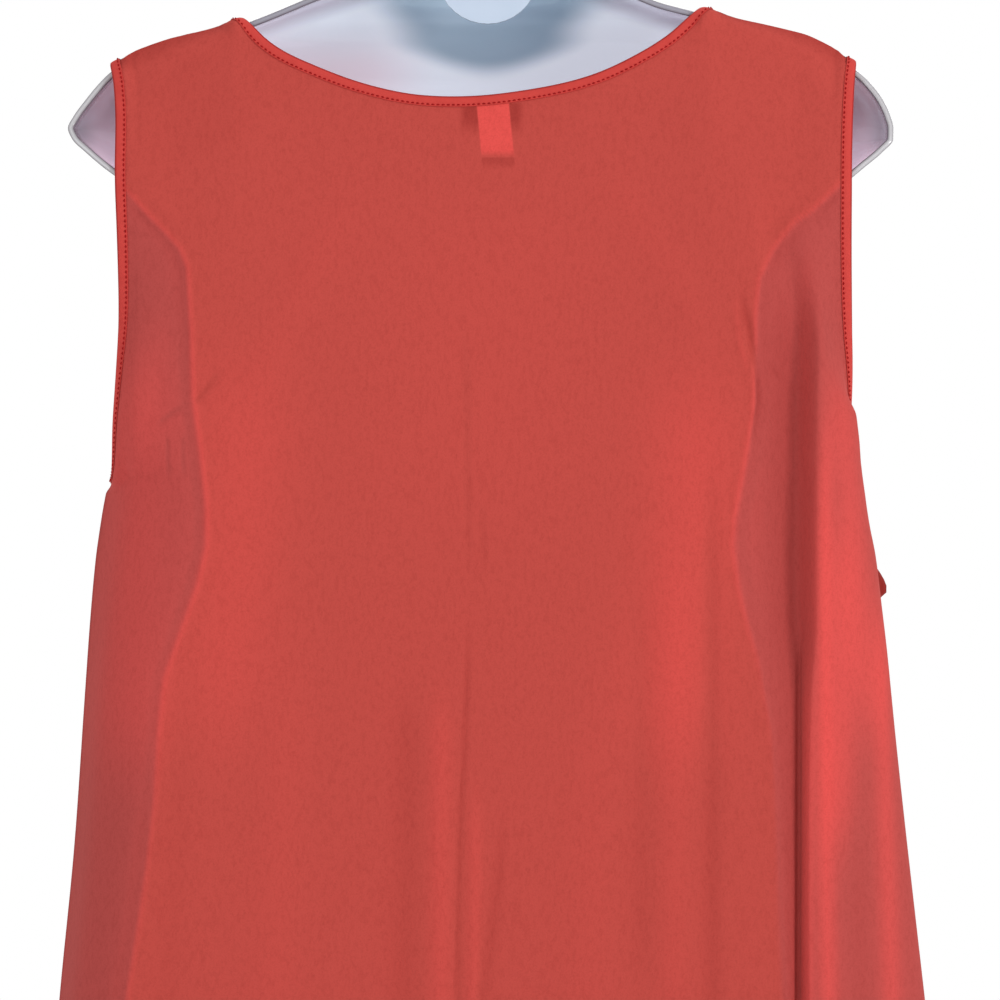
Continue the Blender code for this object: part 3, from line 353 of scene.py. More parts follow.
# The back's sections: height, then x of the form's left rim, the centre crease and the right
# rim, y over the rims, how far the cloth sags between them, then the fold beside the right rim.
backSections = (
    (25, -198, -19, 168, -38, 3.0, 173, -33, 179, -40),
    (100, -191, -17, 165, -37.5, 3.0, 168.5, -32.5, 174.5, -39.5),
    (200, -182, -14, 158.5, -37, 3.2, 165.3, -31, 171, -39),
    (280, -172, -11.5, 154, -36.5, 3.5, 164.8, -29.5, 170.8, -38),
    (360, -165.3, -9, 147.5, -36, 3.8, 164.7, -26.5, 172.3, -36.5),
    (400, -155, -7.5, 137, -36, 4.0, 164, -20, 175.5, -35.5),
    (445, -143.5, -5, 131.5, -36, 4.2, 163.5, -19, 175.3, -34.5),
    (490, -147, -3, 137.5, -36, 4.2, 163.5, -19, 175.5, -34),
    (550, -151, 0, 142.5, -36, 4.2, 163.5, -22, 176, -33.5),
    (590, -154, 1, 147, -35.5, 4.0, 164, -28, 177, -32.5),
    (620, -152, 1, 147, -33.5, 4.0, 163, -31.5, 178, -31.2),
    (650, -147, 1, 140, -29.6, 4.0, 158, -29.4, 175, -29.4),
    (680, -140, 1, 128, -23, 2.5, 150, -23, 171, -23),
    (700, -133, 0, 122, -18.6, 1.0, 142, -18.6, 166, -18.6),
    (707, -133, 0, 122, -16.8, 0.5, 142, -16.8, 166, -16.8),
    (712, -133, 0, 122, -12, 0.0, 142, -12, 166, -12),
)
backSpans = (4, 4, 5, 5, 5, 5, 4, 4, 4, 3)
levels = (
    25, 45, 90, 135, 180, 225, 270, 310, 350, 385, 415, 440, 456, 466, 470, 477, 487, 499, 512,
    526, 541, 557, 573, 589, 605, 621, 637, 652, 666, 679, 690, 700,
)

# The front's depth down its middle: height, y of the cloth.
frontMiddle = (
    (25, 124), (100, 119), (200, 113), (300, 108), (400, 103.5), (500, 100), (550, 97),
    (590, 90), (628, 77), (660, 66), (690, 52), (705, 43), (720, 33),
)
frontPanel = {
    "power": 2.3, "columns": 32, "neckColumns": 22, "sidePull": 20.0, "leadFrom": 500.0,
    "liftFrom": 450.0,
}
# The back's wings: how far in and how far back of the seam the left side turns, then how far out and
# how far forward the right side turns, plain and where its seam lies forward. Its turn: from what y
# of the seam, and over how far.
backPanel = {
    "sagHalf": 130.0, "valleySag": 0.8, "leadFrom": 560.0,
    "leftWing": (0.30, 0.62), "rightWing": (0.6, 0.45, 0.1), "turn": (14.0, 18.0),
    "insideOutline": 0.3,
}
# The armholes: how a panel's rows close up toward them, and how far they pull on it, from none at
# their lowest point.
armhole = {
    "points": 22, "ease": 1.1, "below": 0.6, "reach": 28.0, "shear": 62.0, "pull": (0.0, 46.0),
    "pullPower": 1.2,
}
# how fast a panel closes up toward the shoulders: across on the back and the front, and up on both
leads = {"back": 1.3, "front": 1.5, "up": 1.5}
underarm = {"z": (474.0, 483.0), "tall": 15.0, "across": 0.13, "rounds": 50}   # smoothed here
flare = {"at": 15, "half": 9.0, "rest": 9.0, "reach": 44, "from": 455.0, "to": 508.0, "fade": 38.0}

# Where rays start, well in front of the part and behind it.
farFront = 300.0
farBack = -200.0

# Where the front's section springs from at its sides: height, y, and how square it is.
frontSide = (
    (25, 20, 0.435), (430, 20, 0.435), (490, 24, 0.55), (540, 30, 0.75), (620, 30, 0.75),
    (660, 18, 0.7), (690, -2, 0.6), (720, -8, 0.6),
)

# The shoulder seams' own line: x, height.
shoulderLeft = (
    (-190.8, 689.8), (-184, 692.6), (-174.2, 697.0), (-163.3, 700.6), (-152.4, 703.6), (-138.8, 707.2),
    (-133.6, 709.4), (-129, 712),
)
shoulderRight = (
    (118, 717.6), (122.2, 716), (127.4, 713.6), (133.6, 711.6), (147.2, 708.6), (159.1, 705.8),
    (169, 703.2), (176.8, 699.8), (185.1, 695.4), (190.8, 692.3),
)

# The side seams: height, then y on the left and on the right, and how far the right one lies inside
# the outline, since the blouse hangs turned a little on the form.
seamLine = (
    (25, 16, 24, 1.0), (200, 14, 26, 1.5), (400, 12, 29, 3.0), (450, 11, 31, 5.5), (480, 10, 32, 9.0),
    (600, 10, 34, 9.0),
)

# The armhole edges, from the underarm to the shoulder tip: x, y, z and the way the cloth faces.
leftArmBack = (
    (-193.5, 10, 474, -1, 0, 0.22), (-193.4, 2, 475.5, -1, -0.2, 0.15), (-193.3, -6, 481, -1, -0.3, 0.1),
    (-193.0, -13, 496, -1, -0.4, 0), (-191.0, -20, 526, -0.85, -0.6, 0),
    (-189.4, -26, 560, -0.45, -0.95, 0), (-190.2, -30, 600, -0.15, -1, 0),
    (-191.2, -31.5, 630, -0.1, -1, 0.05), (-190.9, -28, 656, -0.1, -1, 0.2),
    (-192.1, -21.5, 676, -0.25, -0.9, 0.5), (-194.6, -12, 688.2, -0.46, -0.1, 0.88),
)
leftArmFront = (
    (-193.5, 10, 474, -1, 0, 0.22), (-193.2, 20, 476.5, -1, 0.35, 0.1), (-192.6, 28, 484, -1, 0.6, 0),
    (-188.7, 36, 502, -0.8, 0.7, 0), (-184.0, 40, 532, -0.6, 0.8, 0),
    (-180.0, 41, 566, -0.5, 0.9, 0), (-178.5, 40, 602, -0.4, 1, 0.1),
    (-180.0, 38.5, 630, -0.4, 1, 0.2), (-184.0, 35, 652, -0.3, 0.9, 0.3),
    (-187.0, 29.5, 667, -0.35, 0.8, 0.5), (-189.8, 20.5, 678.6, -0.4, 0.6, 0.8),
    (-192.8, 7, 686.0, -0.45, 0.2, 0.9), (-194.6, -12, 688.2, -0.46, -0.1, 0.88),
)
rightArmBack = (
    (190.4, 33, 482, 1, 0.2, 0.2), (190.8, 25, 483.5, 1, 0.1, 0.1), (191.3, 16, 490, 1, -0.1, 0),
    (193.4, 4, 508, 1, -0.3, 0), (193.8, -8, 530, 0.8, -0.6, 0),
    (193.2, -18, 560, 0.35, -0.95, 0), (192.6, -28, 600, 0.15, -1, 0),
    (192.6, -31.5, 630, 0.1, -1, 0.05), (193.2, -28, 656, 0.1, -1, 0.2),
    (194.4, -21.5, 677, 0.25, -0.9, 0.5), (195.8, -12, 689.3, 0.46, -0.1, 0.88),
)
rightArmFront = (
    (190.4, 33, 482, 1, 0.3, 0.2), (188.9, 41, 485, 1, 0.6, 0.1), (186.6, 46, 493, 0.9, 0.8, 0),
    (184.2, 48, 508, 0.7, 0.9, 0), (181.5, 48, 535, 0.6, 0.9, 0),
    (180.0, 46, 568, 0.5, 0.9, 0), (179.5, 42.5, 602, 0.4, 1, 0.1),
    (181.5, 39, 630, 0.4, 1, 0.2), (185.0, 35, 652, 0.3, 0.9, 0.3),
    (188.0, 29.5, 667, 0.35, 0.8, 0.5), (190.8, 20.5, 678.8, 0.4, 0.6, 0.8),
    (193.8, 7, 686.9, 0.45, 0.2, 0.9), (195.8, -12, 689.3, 0.46, -0.1, 0.88),
)

# The neck edge of the back, from the left shoulder to the right one: x, height.
neckBack = (
    (-127, 713.0), (-121.7, 709.9), (-113.9, 701.7), (-103, 693.9), (-86.3, 686.4),
    (-67.8, 679.1), (-51, 674.4), (-33.8, 671.1), (-17.2, 670.3), (0, 670.8), (16.6, 672.9),
    (33.8, 675.6), (56.2, 681.2), (79, 691.6), (97.8, 703.3), (104.3, 709.2), (109.7, 714.2),
    (116, 718.3),
)

# The front neck edge, which the form's chest carries: part of the half width, drop, y.
neckFront = (
    (1.0, 0, -12), (0.995, 2.5, -2), (0.98, 8, 20), (0.955, 20, 42), (0.905, 36, 56),
    (0.81, 58, 68), (0.64, 80, 78), (0.43, 95, 84), (0.21, 104, 87), (0.0, 107, 88),
)


# The form: a glossy shell with an open back and a rolled rim. Lip shade: painted shade, where the rim's
# dark inner line starts, the painted dark line round its outside, and what is left of it in the hollow.
formFine = {
    "rowsPerStep": 5, "columns": 96, "rimPoints": 320, "rollSteps": 13, "rollEnd": (3.0, 2.6),
    "sharp": 50,
    "lipShade": (2.3, 2.9), "lipOutside": (0.9, 0.9, 0.7, 0.2), "lipInside": 0.6,
}


def finer(levels, parts):
    steps = np.arange(len(levels))
    where = np.linspace(0, len(levels) - 1, (len(levels) - 1) * parts + 1)
    return np.interp(where, steps, levels)


def formGrid(heights, columns):
    left, right = readAll(formLeft, heights)[:, 0], readAll(formRight, heights)[:, 0]
    rimY, depth = readAll(formDepth, heights).T
    angle = np.linspace(math.pi, 0.0, columns)
    across, out = squared(np.cos(angle), form["power"]), squared(np.abs(np.sin(angle)), form["power"])
    out[0] = out[-1] = 0.0
    x = ((left + right) / 2)[:, None] + ((right - left) / 2)[:, None] * across
    y = rimY[:, None] + depth[:, None] * out
    z = np.repeat(np.asarray(heights, float)[:, None], columns, axis=1)
    return np.stack([x, y, z], axis=-1)


# the way into the wall at each point of one rim
def rimInward(line, side):
    way = np.gradient(line, axis=0)
    inward = unit(np.stack([way[:, 2], np.zeros(len(line)), -way[:, 0]], axis=1)) * -side
    inward[0] = inward[-1] = (-side, 0, 0)
    return inward


formHeights = finer(formLevels, formFine["rowsPerStep"])
formOuter = formGrid(formHeights, formFine["columns"])
leftIn, rightIn = rimInward(formOuter[:, 0], -1.0), rimInward(formOuter[:, -1], 1.0)
rimLines = [
    spread(line + inward * form["beadMiddle"], formFine["rimPoints"])
    for line, inward in ((formOuter[:, 0], leftIn), (formOuter[:, -1], rightIn))
]
formTree = BVHTree.FromPolygons(
    [Vector(p) for p in formOuter.reshape(-1, 3)], gridFaces(*formOuter.shape[:2], flip=True)
)


def makeFormShell(material):
    normals = gridNormals(formOuter, 1.0)
    normals[:, 0], normals[:, -1] = -leftIn, -rightIn
    normals[0, :, 2] = normals[-1, :, 2] = 0
    normals = unit(normals)
    inner = formOuter - normals * form["wall"]
    section = [(0, 0), *bead, formFine["rollEnd"]]
    steps = np.linspace(0, len(section) - 1, formFine["rollSteps"])
    roll = curveAt(range(len(section)), section, steps)[1:]
    # painted shade along the rim's inner edge and a painted dark line round its outside
    lipShade = smoothStep(*formFine["lipShade"], roll[:, 0])
    lipShade[:4] = formFine["lipOutside"]
    rows = []
    for r in range(len(formHeights)):
        right = [formOuter[r, -1] + rightIn[r] * a + (0, b, 0) for a, b in roll]
        left = [formOuter[r, 0] + leftIn[r] * a + (0, b, 0) for a, b in roll]
        rows.append(np.concatenate([formOuter[r], right, inner[r, -3:2:-1], left[::-1]]))
    rows = np.array(rows)
    count = rows.shape[1]
    faces = gridFaces(rows.shape[0], count, loop=True)
    middle = formFine["columns"]
    for start in (0, (rows.shape[0] - 1) * count):     # the cut top and bottom edges of the wall
        inside = [start + middle + len(roll) + k for k in range(middle - 6)][::-1]
        for c in range(3, middle - 4):
            faces.append((start + c, start + c + 1, inside[c - 2], inside[c - 3]))
        faces.append([start + c for c in range(middle - 4, middle + len(roll))] + [inside[-1]])
        around = [*range(count - len(roll), count), *range(4)]
        faces.append([inside[0]] + [start + c for c in around])
    shell = makeMesh("form_shell_moulded", rows.reshape(-1, 3), faces, material)
    work = bmesh.new()
    work.from_mesh(shell.data)
    bmesh.ops.recalc_face_normals(work, faces=work.faces)
    work.to_mesh(shell.data)
    work.free()
    shell.data.shade_smooth()
    shell.data.set_sharp_from_angle(angle=math.radians(formFine["sharp"]))
    ring = np.zeros(count)
    ring[middle: middle + len(roll)] = lipShade
    ring[count - len(roll):] = lipShade[::-1]
    hollow = np.zeros(count)
    hollow[middle + len(roll) - 1: count - len(roll) + 1] = 1.0
    ring[[middle + len(roll), count - len(roll) - 1]] = formFine["lipInside"]
    storeValues(shell, "lipShade", np.tile(ring, len(rows)))
    storeValues(shell, "hollow", np.tile(hollow, len(rows)))
    rim = np.zeros(count)
    rim[middle: middle + len(roll)] = rim[count - len(roll):] = 1.0
    storeValues(shell, "rim", np.tile(rim, len(rows)))
    corners = [v.co / mm for v in shell.data.vertices]
    return shell, BVHTree.FromPolygons(corners, [f.vertices for f in shell.data.polygons])


# keeping the cloth off the form
def pushesOff(points, clearance, backOnly):
    moves = np.zeros_like(points)
    reach = clearance + form["beadDrop"]
    if backOnly:
        for line in rimLines:
            gaps = ((points[:, None, ::2] - line[None, :, ::2]) ** 2).sum(axis=2)
            room = np.maximum(reach ** 2 - gaps, 0)
            back = np.where(room > 0, line[None, :, 1] - np.sqrt(room), 1e6).min(axis=1)
            moves[:, 1] = np.minimum(moves[:, 1], np.minimum(back - points[:, 1], 0))
        return moves
    rimHere = readAll(formDepth, points[:, 2])[:, 0]
    for i, point in enumerate(points):
        near, normal, _, distance = formTree.find_nearest(Vector(point))
        if distance > form["reach"] or near.y - rimHere[i] < form["rimSkip"]:
            continue
        if (Vector(point) - near).dot(normal) < 0 or distance < clearance:
            moves[i] = np.array(near + normal * clearance) - point
    moved = points + moves
    for line in rimLines:
        gaps = moved[:, None] - line[None]
        sizes = np.sqrt((gaps ** 2).sum(axis=2))
        nearest = sizes.argmin(axis=1)
        size = sizes[np.arange(len(points)), nearest]
        short = np.maximum(reach - size, 0)
        moved += gaps[np.arange(len(points)), nearest] / np.maximum(size, 1e-6)[:, None] * short[:, None]
    return moved - points


def pushesOffRows(grid, clearance, backOnly):
    return np.stack([pushesOff(row, clearance, backOnly) for row in grid])


# the back, seen from behind, never lies inside the form's rim
def behindForm(grid, gap):
    flat = grid.reshape(-1, 3)
    for k, (x, y, z) in enumerate(flat):
        hit = shellTree.ray_cast(Vector((x, farBack, z)), Vector((0, 1, 0)))[0]
        if hit is not None and y > hit.y - gap:
            flat[k, 1] = hit.y - gap
    return flat.reshape(grid.shape)


def outOfForm(points, gap, reach):
    flat = points.reshape(-1, 3)
    for k, own in enumerate(flat):
        near, normal, _, _ = shellTree.find_nearest(Vector(own), reach)
        if near is not None and (Vector(own) - near).dot(normal) < gap:
            flat[k] = near + normal * gap
    return flat.reshape(points.shape)


# a closed edge with its points that many times closer
def denser(loop, times):
    where = np.arange(len(loop[0]) * times) / times
    low = where.astype(int)
    part = (where - low)[:, None]
    points, facing, way = [v[low] * (1 - part) + v[(low + 1) % len(v)] * part for v in loop]
    return points, unit(facing), unit(way)


# each round of lifting: how far, and how much of it the neighbours of a touching point share
lifting = {"step": 0.35, "spread": 3, "share": 0.75}


# whatever still meets the form is lifted off it, and its neighbours with it
def liftOff(grid, normals, rounds):
    faces = gridFaces(*grid.shape[:2])
    corners = np.array(faces)
    for _ in range(rounds):
        own = BVHTree.FromPolygons([Vector(p) for p in grid.reshape(-1, 3)], faces)
        met = own.overlap(shellTree)
        if not met:
            break
        soft = np.zeros(grid.shape[:2])
        soft.reshape(-1)[corners[sorted({a for a, _ in met})].reshape(-1)] = 1.0
        for _ in range(lifting["spread"]):
            near = [np.roll(soft, step, axis) for step in (-1, 1) for axis in (0, 1)]
            soft = np.maximum(soft, np.maximum.reduce(near) * lifting["share"])
        grid = grid + normals * (lifting["step"] * soft)[..., None]
    return grid


# beside an edge the cloth lies flat between the two layers of the strip folded over it
def layUnder(grid, loops):
    flat = grid.reshape(-1, 3)
    for points, facing, way in loops:
        tree = KDTree(len(points))
        for i, point in enumerate(points):
            tree.insert(point, i)
        tree.balance()
        low, high = points.min(axis=0) - under["reach"], points.max(axis=0) + under["reach"]
        for k in np.nonzero(((flat > low) & (flat < high)).all(axis=1))[0]:
            _, i, far = tree.find(flat[k])
            if far < under["reach"]:
                gap = flat[k] - points[i]
                along, rise = gap @ way[i], gap @ facing[i]
                flat[k] -= facing[i] * (rise - under["rise"]) * (1 - smoothStep(*under["ease"], along))
                flat[k] += way[i] * max(0.0, under["least"] - along)
    return flat.reshape(grid.shape)


# The edges that the panels and the bindings share.
# How the cloth lies between a strip's layers: from how far off its edge, eased over what, at least how
# far in, and how high.
under = {"reach": 14.0, "ease": (6.0, 12.0), "least": 0.9, "rise": -0.1}
# tuck: from a strip's folded edge to the cloth's own
edgeFine = {"neckParts": 5, "armParts": 5, "ease": 0.55, "tuck": 1.8}
# settling an edge on the form: how often, at which places across its strip and past it, and from what
# way on the strip counts as facing back
settling = {"rounds": 5, "across": (0.0, 2.0, 4.0), "facingBack": -0.6}
# how the neck's edge faces, at its steepest and its flattest, and at its shoulder points; the way into
# the cloth from an armhole's edge
facings = {"steep": (0.1, 0.98), "shoulder": (0, -0.15, 1.0), "intoArm": -0.8}
# the shoulder line eases from its ends onto the outline, and clears the form
shoulderFine = {"ease": 0.16, "clear": (1.1, 6.0)}


def sagShare(x):
    return 1 - np.minimum(1.0, np.abs(x) / backPanel["sagHalf"]) ** 2


def backPlane(x, z):
    outline = readAll(shoulderLeft + shoulderRight, np.ravel(x))[:, 0].reshape(np.shape(x))
    below = z + form["shoulder"] - outline
    rimY, sag = readAll(backSections, np.ravel(below))[:, 3:5].T
    return (rimY + sag * sagShare(np.ravel(x))).reshape(np.shape(x))


def neckLine():
    table = np.array(neckBack, float)
    back = np.stack([table[:, 0], backPlane(table[:, 0], table[:, 1]), table[:, 1]], axis=1)
    back = spread(back, sum(backSpans[2:6]) * edgeFine["neckParts"] + 1, edgeFine["ease"])
    left, right = back[0], back[-1]
    middleX = (left[0] + right[0]) / 2
    front = [(middleX + (left[0] - middleX) * part, y, left[2] - drop) for part, drop, y in neckFront]
    for part, drop, y in reversed(neckFront[:-1]):
        height = left[2] + (right[2] - left[2]) * part - drop
        front.append((middleX + (right[0] - middleX) * part, y, height))
    front = spread(front, (frontPanel["neckColumns"] - 1) * edgeFine["neckParts"] + 1, edgeFine["ease"])
    tipZ = np.interp(back[:, 0], (left[0], right[0]), (left[2], right[2]))
    lean = np.arcsin(np.clip((tipZ - back[:, 2]) / cloth["bend"], *facings["steep"]))
    facingBack = np.stack([0 * lean, -np.sin(lean), np.cos(lean)], axis=1)
    facingFront = np.zeros_like(front)
    for i, p in enumerate(front.copy()):
        near, normal, _, _ = formTree.find_nearest(Vector(p))
        front[i] = near + normal * (cloth["clear"] + cloth["wall"])
        facingFront[i] = normal
    front[0], front[-1] = left, right
    facingFront[0] = facingFront[-1] = facings["shoulder"]
    points = np.concatenate([back, front[-2:0:-1]])
    facing = np.concatenate([facingBack, facingFront[-2:0:-1]])
    return points, unit(facing), len(back)


def loopFrames(points, facing, into, rounds):
    ahead = unit(np.roll(points, -1, axis=0) - np.roll(points, 1, axis=0))
    for _ in range(rounds):
        facing = unit(facing + 0.5 * np.roll(facing, 1, axis=0) + 0.5 * np.roll(facing, -1, axis=0))
    facing = unit(facing - ahead * np.sum(facing * ahead, axis=1, keepdims=True))
    way = unit(np.cross(facing, ahead))
    flip = np.sign(np.sum(way * into, axis=1, keepdims=True))
    return facing, way * np.where(flip == 0, 1.0, flip)


def settleLoop(points, facing, into, parts):
    low = binding["proud"] - binding["wall"]
    reach = binding["width"] + binding["gap"]
    places = settling["across"]
    for _ in range(settling["rounds"]):
        normal, way = loopFrames(points, facing, into, 2 * parts)
        moves = np.zeros_like(points)
        for along in (*places, *(reach + place for place in places)):
            own = points + way * along + normal * low
            step = pushesOff(own, binding["clear"], False)
            behind = pushesOff(own, binding["clear"], True)
            step = np.where(normal[:, 1:2] < settling["facingBack"], behind, step)
            bigger = (step ** 2).sum(axis=1) > (moves ** 2).sum(axis=1)
            moves[bigger] = step[bigger]
        for _ in range(parts):
            beside = (np.roll(moves, 1, axis=0) + np.roll(moves, -1, axis=0)) / 2
            moves = np.where(np.abs(moves) > 1e-6, moves, beside)
        points = points + moves
    for _ in range(parts * 2):
        points = points * 0.5 + (np.roll(points, 1, axis=0) + np.roll(points, -1, axis=0)) * 0.25
    normal, way = loopFrames(points, facing, into, 2 * parts)
    return points, normal, way


def buildEdges():
    edges = {}
    points, facing, backCount = neckLine()
    points, facing, way = settleLoop(points, facing, points - points.mean(axis=0), edgeFine["neckParts"])
    edges["neck"] = (points, facing, way)
    line = np.concatenate([points + way * edgeFine["tuck"], facing, way], axis=1)
    edges["neckBack"] = line[:backCount]
    edges["neckFront"] = np.concatenate([line[backCount - 1:], line[:1]])[::-1]
    count = (armhole["points"] - 1) * edgeFine["armParts"] + 1
    for side, backTable, frontTable in ((-1, leftArmBack, leftArmFront), (1, rightArmBack, rightArmFront)):
        back, front = (spread(table, count, edgeFine["ease"]) for table in (backTable, frontTable))
        line = np.concatenate([back, front[-2:0:-1]])
        into = np.tile(np.array((-side, 0.0, facings["intoArm"])), (len(line), 1))
        points, facing, way = settleLoop(line[:, :3], unit(line[:, 3:6]), into, edgeFine["armParts"])
        edges["arm", side] = (points, facing, way)
        line = np.concatenate([points + way * edgeFine["tuck"], facing, way], axis=1)
        edges["armBack", side] = line[:count]
        edges["armFront", side] = np.concatenate([line[count - 1:], line[:1]])[::-1]
    return edges


# the panels
clothFine = {
    "rowsPerLevel": 8, "frontParts": 4, "underCloth": 0.35, "shoulderFrom": 640.0,
    "backColumns": (20, 36, 52, 52, 52, 52, 36, 20, 20, 12),   # between the sections' places
}
rowHeights = finer(levels, clothFine["rowsPerLevel"])
shoulderRows = slice(int(np.searchsorted(rowHeights, clothFine["shoulderFrom"])), -1)


# one side of a panel at each row: the side seam below the underarm, the armhole above it
def sideBoundary(side, arm):
    lowest = arm[0, 2] - armhole["below"]
    low, high = rowHeights[rowHeights <= lowest], rowHeights[rowHeights > lowest]
    outline, seam = readAll(sideOutline, low), readAll(seamLine, low)
    zeros = np.zeros(len(low))
    if side < 0:
        columns = [outline[:, 0], seam[:, 0], low, zeros - 1, zeros, zeros]
    else:
        columns = [outline[:, 1] - seam[:, 2], seam[:, 1], low, zeros + 1, zeros, zeros]
    below = np.stack(columns + [zeros, zeros, zeros], axis=1)
    keys = lengthsAlong(arm[:, :3])
    where = np.linspace(0, 1, len(high)) ** armhole["ease"] * keys[-1]
    found = np.concatenate([below, lineAt(arm, keys, where)])
    return found[:, :3], unit(found[:, 3:6]), unit(found[:, 6:])


def shoulderLine(start, end, count, outline):
    part = np.linspace(0, 1, count)
    line = start + (end - start) * part[:, None]
    lifted = readAll(outline, line[:, 0])[:, 0]
    line[:, 2] += (lifted - line[:, 2]) * smoothStep(0, shoulderFine["ease"], np.minimum(part, 1 - part))
    return line


def topRow(left, right, neck, spans):
    leftTop = shoulderLine(left, neck[0, :3], spans[0] + 1, shoulderLeft)
    rightTop = shoulderLine(neck[-1, :3], right, spans[1] + 1, shoulderRight)
    for line in (leftTop, rightTop):
        line[1:-1] = outOfForm(line[1:-1], *shoulderFine["clear"])
    return np.concatenate([leftTop[:-1], neck[:, :3], rightTop[1:]])


def sheared(x, heights, left, right):
    nearLeft = smoothStep(0, 1, 1 - (x - left[:, :1]) / armhole["shear"])
    nearRight = smoothStep(0, 1, 1 - (right[:, :1] - x) / armhole["shear"])
    return heights + (left[:, 2:] - heights) * nearLeft + (right[:, 2:] - heights) * nearRight


# from none at the height start to all at the shoulders
def lead(z, start, power):
    return np.clip((z - start) / (levels[-1] - start), 0, 1) ** power


# the rows above fromZ close up toward the shoulder line
def leadUp(grid, fromZ):
    z = grid[:-1, 1:-1, 2]
    grid[:-1, 1:-1, 2] = z + (grid[-1, 1:-1, 2] - levels[-1]) * lead(z, fromZ, leads["up"])


# the panel leaves its armhole edges in line with the strips folded over them
def leaveEdges(grid, left, leftWay, right, rightWay):
    third = grid.shape[1] // 3
    for edge, ways, part in ((left, leftWay, slice(1, third)), (right, rightWay, slice(-third, -1))):
        flat = np.linalg.norm(ways[:-1, :2], axis=1)[:, None]
        lowest = edge[np.argmax(flat[:, 0] > 0), 2]
        ease = smoothStep(*armhole["pull"], edge[:-1, 2:] - lowest)
        way = ways[:-1, None, :2]
        own = grid[:-1, part, :2]
        gap = own - edge[:-1, None, :2]
        size = np.linalg.norm(gap, axis=2)
        inLine = np.maximum(0.0, (gap * way).sum(axis=2) / np.maximum(size * flat, 1e-6))
        near = np.maximum(0.0, 1 - size / armhole["reach"]) ** armhole["pullPower"]
        blend = near * inLine * flat * ease
        aim = edge[:-1, None, :2] + way / np.maximum(flat, 1e-6)[..., None] * size[..., None]
        grid[:-1, part, :2] = own + (aim - own) * blend[..., None]


def relax(grid, rounds):
    for _ in range(rounds):
        around = grid.copy()
        around[1:-1, 1:-1] = (grid[:-2, 1:-1] + grid[2:, 1:-1] + grid[1:-1, :-2] + grid[1:-1, 2:]) / 4
        grid = grid * 0.5 + around * 0.5
    return grid


def settlePanel(grid, backOnly, rounds):
    side = -1.0 if backOnly else 1.0
    for _ in range(rounds):
        normals = gridNormals(grid, side)
        moves = pushesOffRows(grid - normals * cloth["wall"], cloth["clear"], backOnly)
        moves[-1] = moves[:, 0] = moves[:, -1] = 0
        grid = grid + moves
    return grid


# no step runs in from the armhole's lowest point
def smoothUnderarms(grid):
    count = np.arange(grid.shape[1])
    soft = relax(grid, underarm["rounds"])
    for z, fromSide in zip(underarm["z"], (count, count[::-1])):
        mask = np.exp(-((grid[..., 2] - z) / underarm["tall"]) ** 2)
        mask = mask * np.exp(-(fromSide / len(count) / underarm["across"]) ** 2)
        grid = grid + (soft - grid) * mask[..., None]
    return grid


# at the right the back hangs out past its armhole's strip
def flareOut(grid):
    fromRight = np.arange(grid.shape[1])[::-1]
    shape = np.exp(-((fromRight - flare["at"]) / flare["half"]) ** 2)
    shape = shape * smoothStep(0, flare["rest"], fromRight)
    near = fromRight < flare["reach"]
    short = readAll(sideOutline, grid[:, -1, 2])[:, 1] - grid[:, near, 0].max(axis=1)
    low, high, fade = flare["from"], flare["to"], flare["fade"]
    z = grid[:, -1, 2]
    part = smoothStep(low, low + fade, z) * smoothStep(high + fade, high, z)
    grid[..., 0] += np.maximum(short, 0)[:, None] * part[:, None] * shape
    return grid


# a long soft shape laid along a path: 1 on its line, falling to 0 at about twice its half width
def pathMask(x, z, path, half, taper, low=None):
    path = np.asarray(path, float)
    keys = lengthsAlong(path)
    best = np.full(x.shape, 1e9)
    along = np.zeros(x.shape)
    for i in range(len(path) - 1):
        a, way = path[i], path[i + 1] - path[i]
        size = max(float(np.hypot(*way)), 1e-6)
        t = np.clip(((x - a[0]) * way[0] + (z - a[1]) * way[1]) / size ** 2, 0, 1)
        gapX, gapZ = x - a[0] - way[0] * t, z - a[1] - way[1] * t
        gap = np.hypot(gapX, gapZ)
        closer = gap < best
        best = np.where(closer, gap, best)
        along = np.where(closer, keys[i] + t * size, along)
    share = along / keys[-1]
    width = half if low is None else half + (low - half) * share
    ends = smoothStep(0, taper, share) * smoothStep(0, taper, 1 - share) if taper > 0 else 1.0
    return np.exp(-(best / width) ** 2) * ends


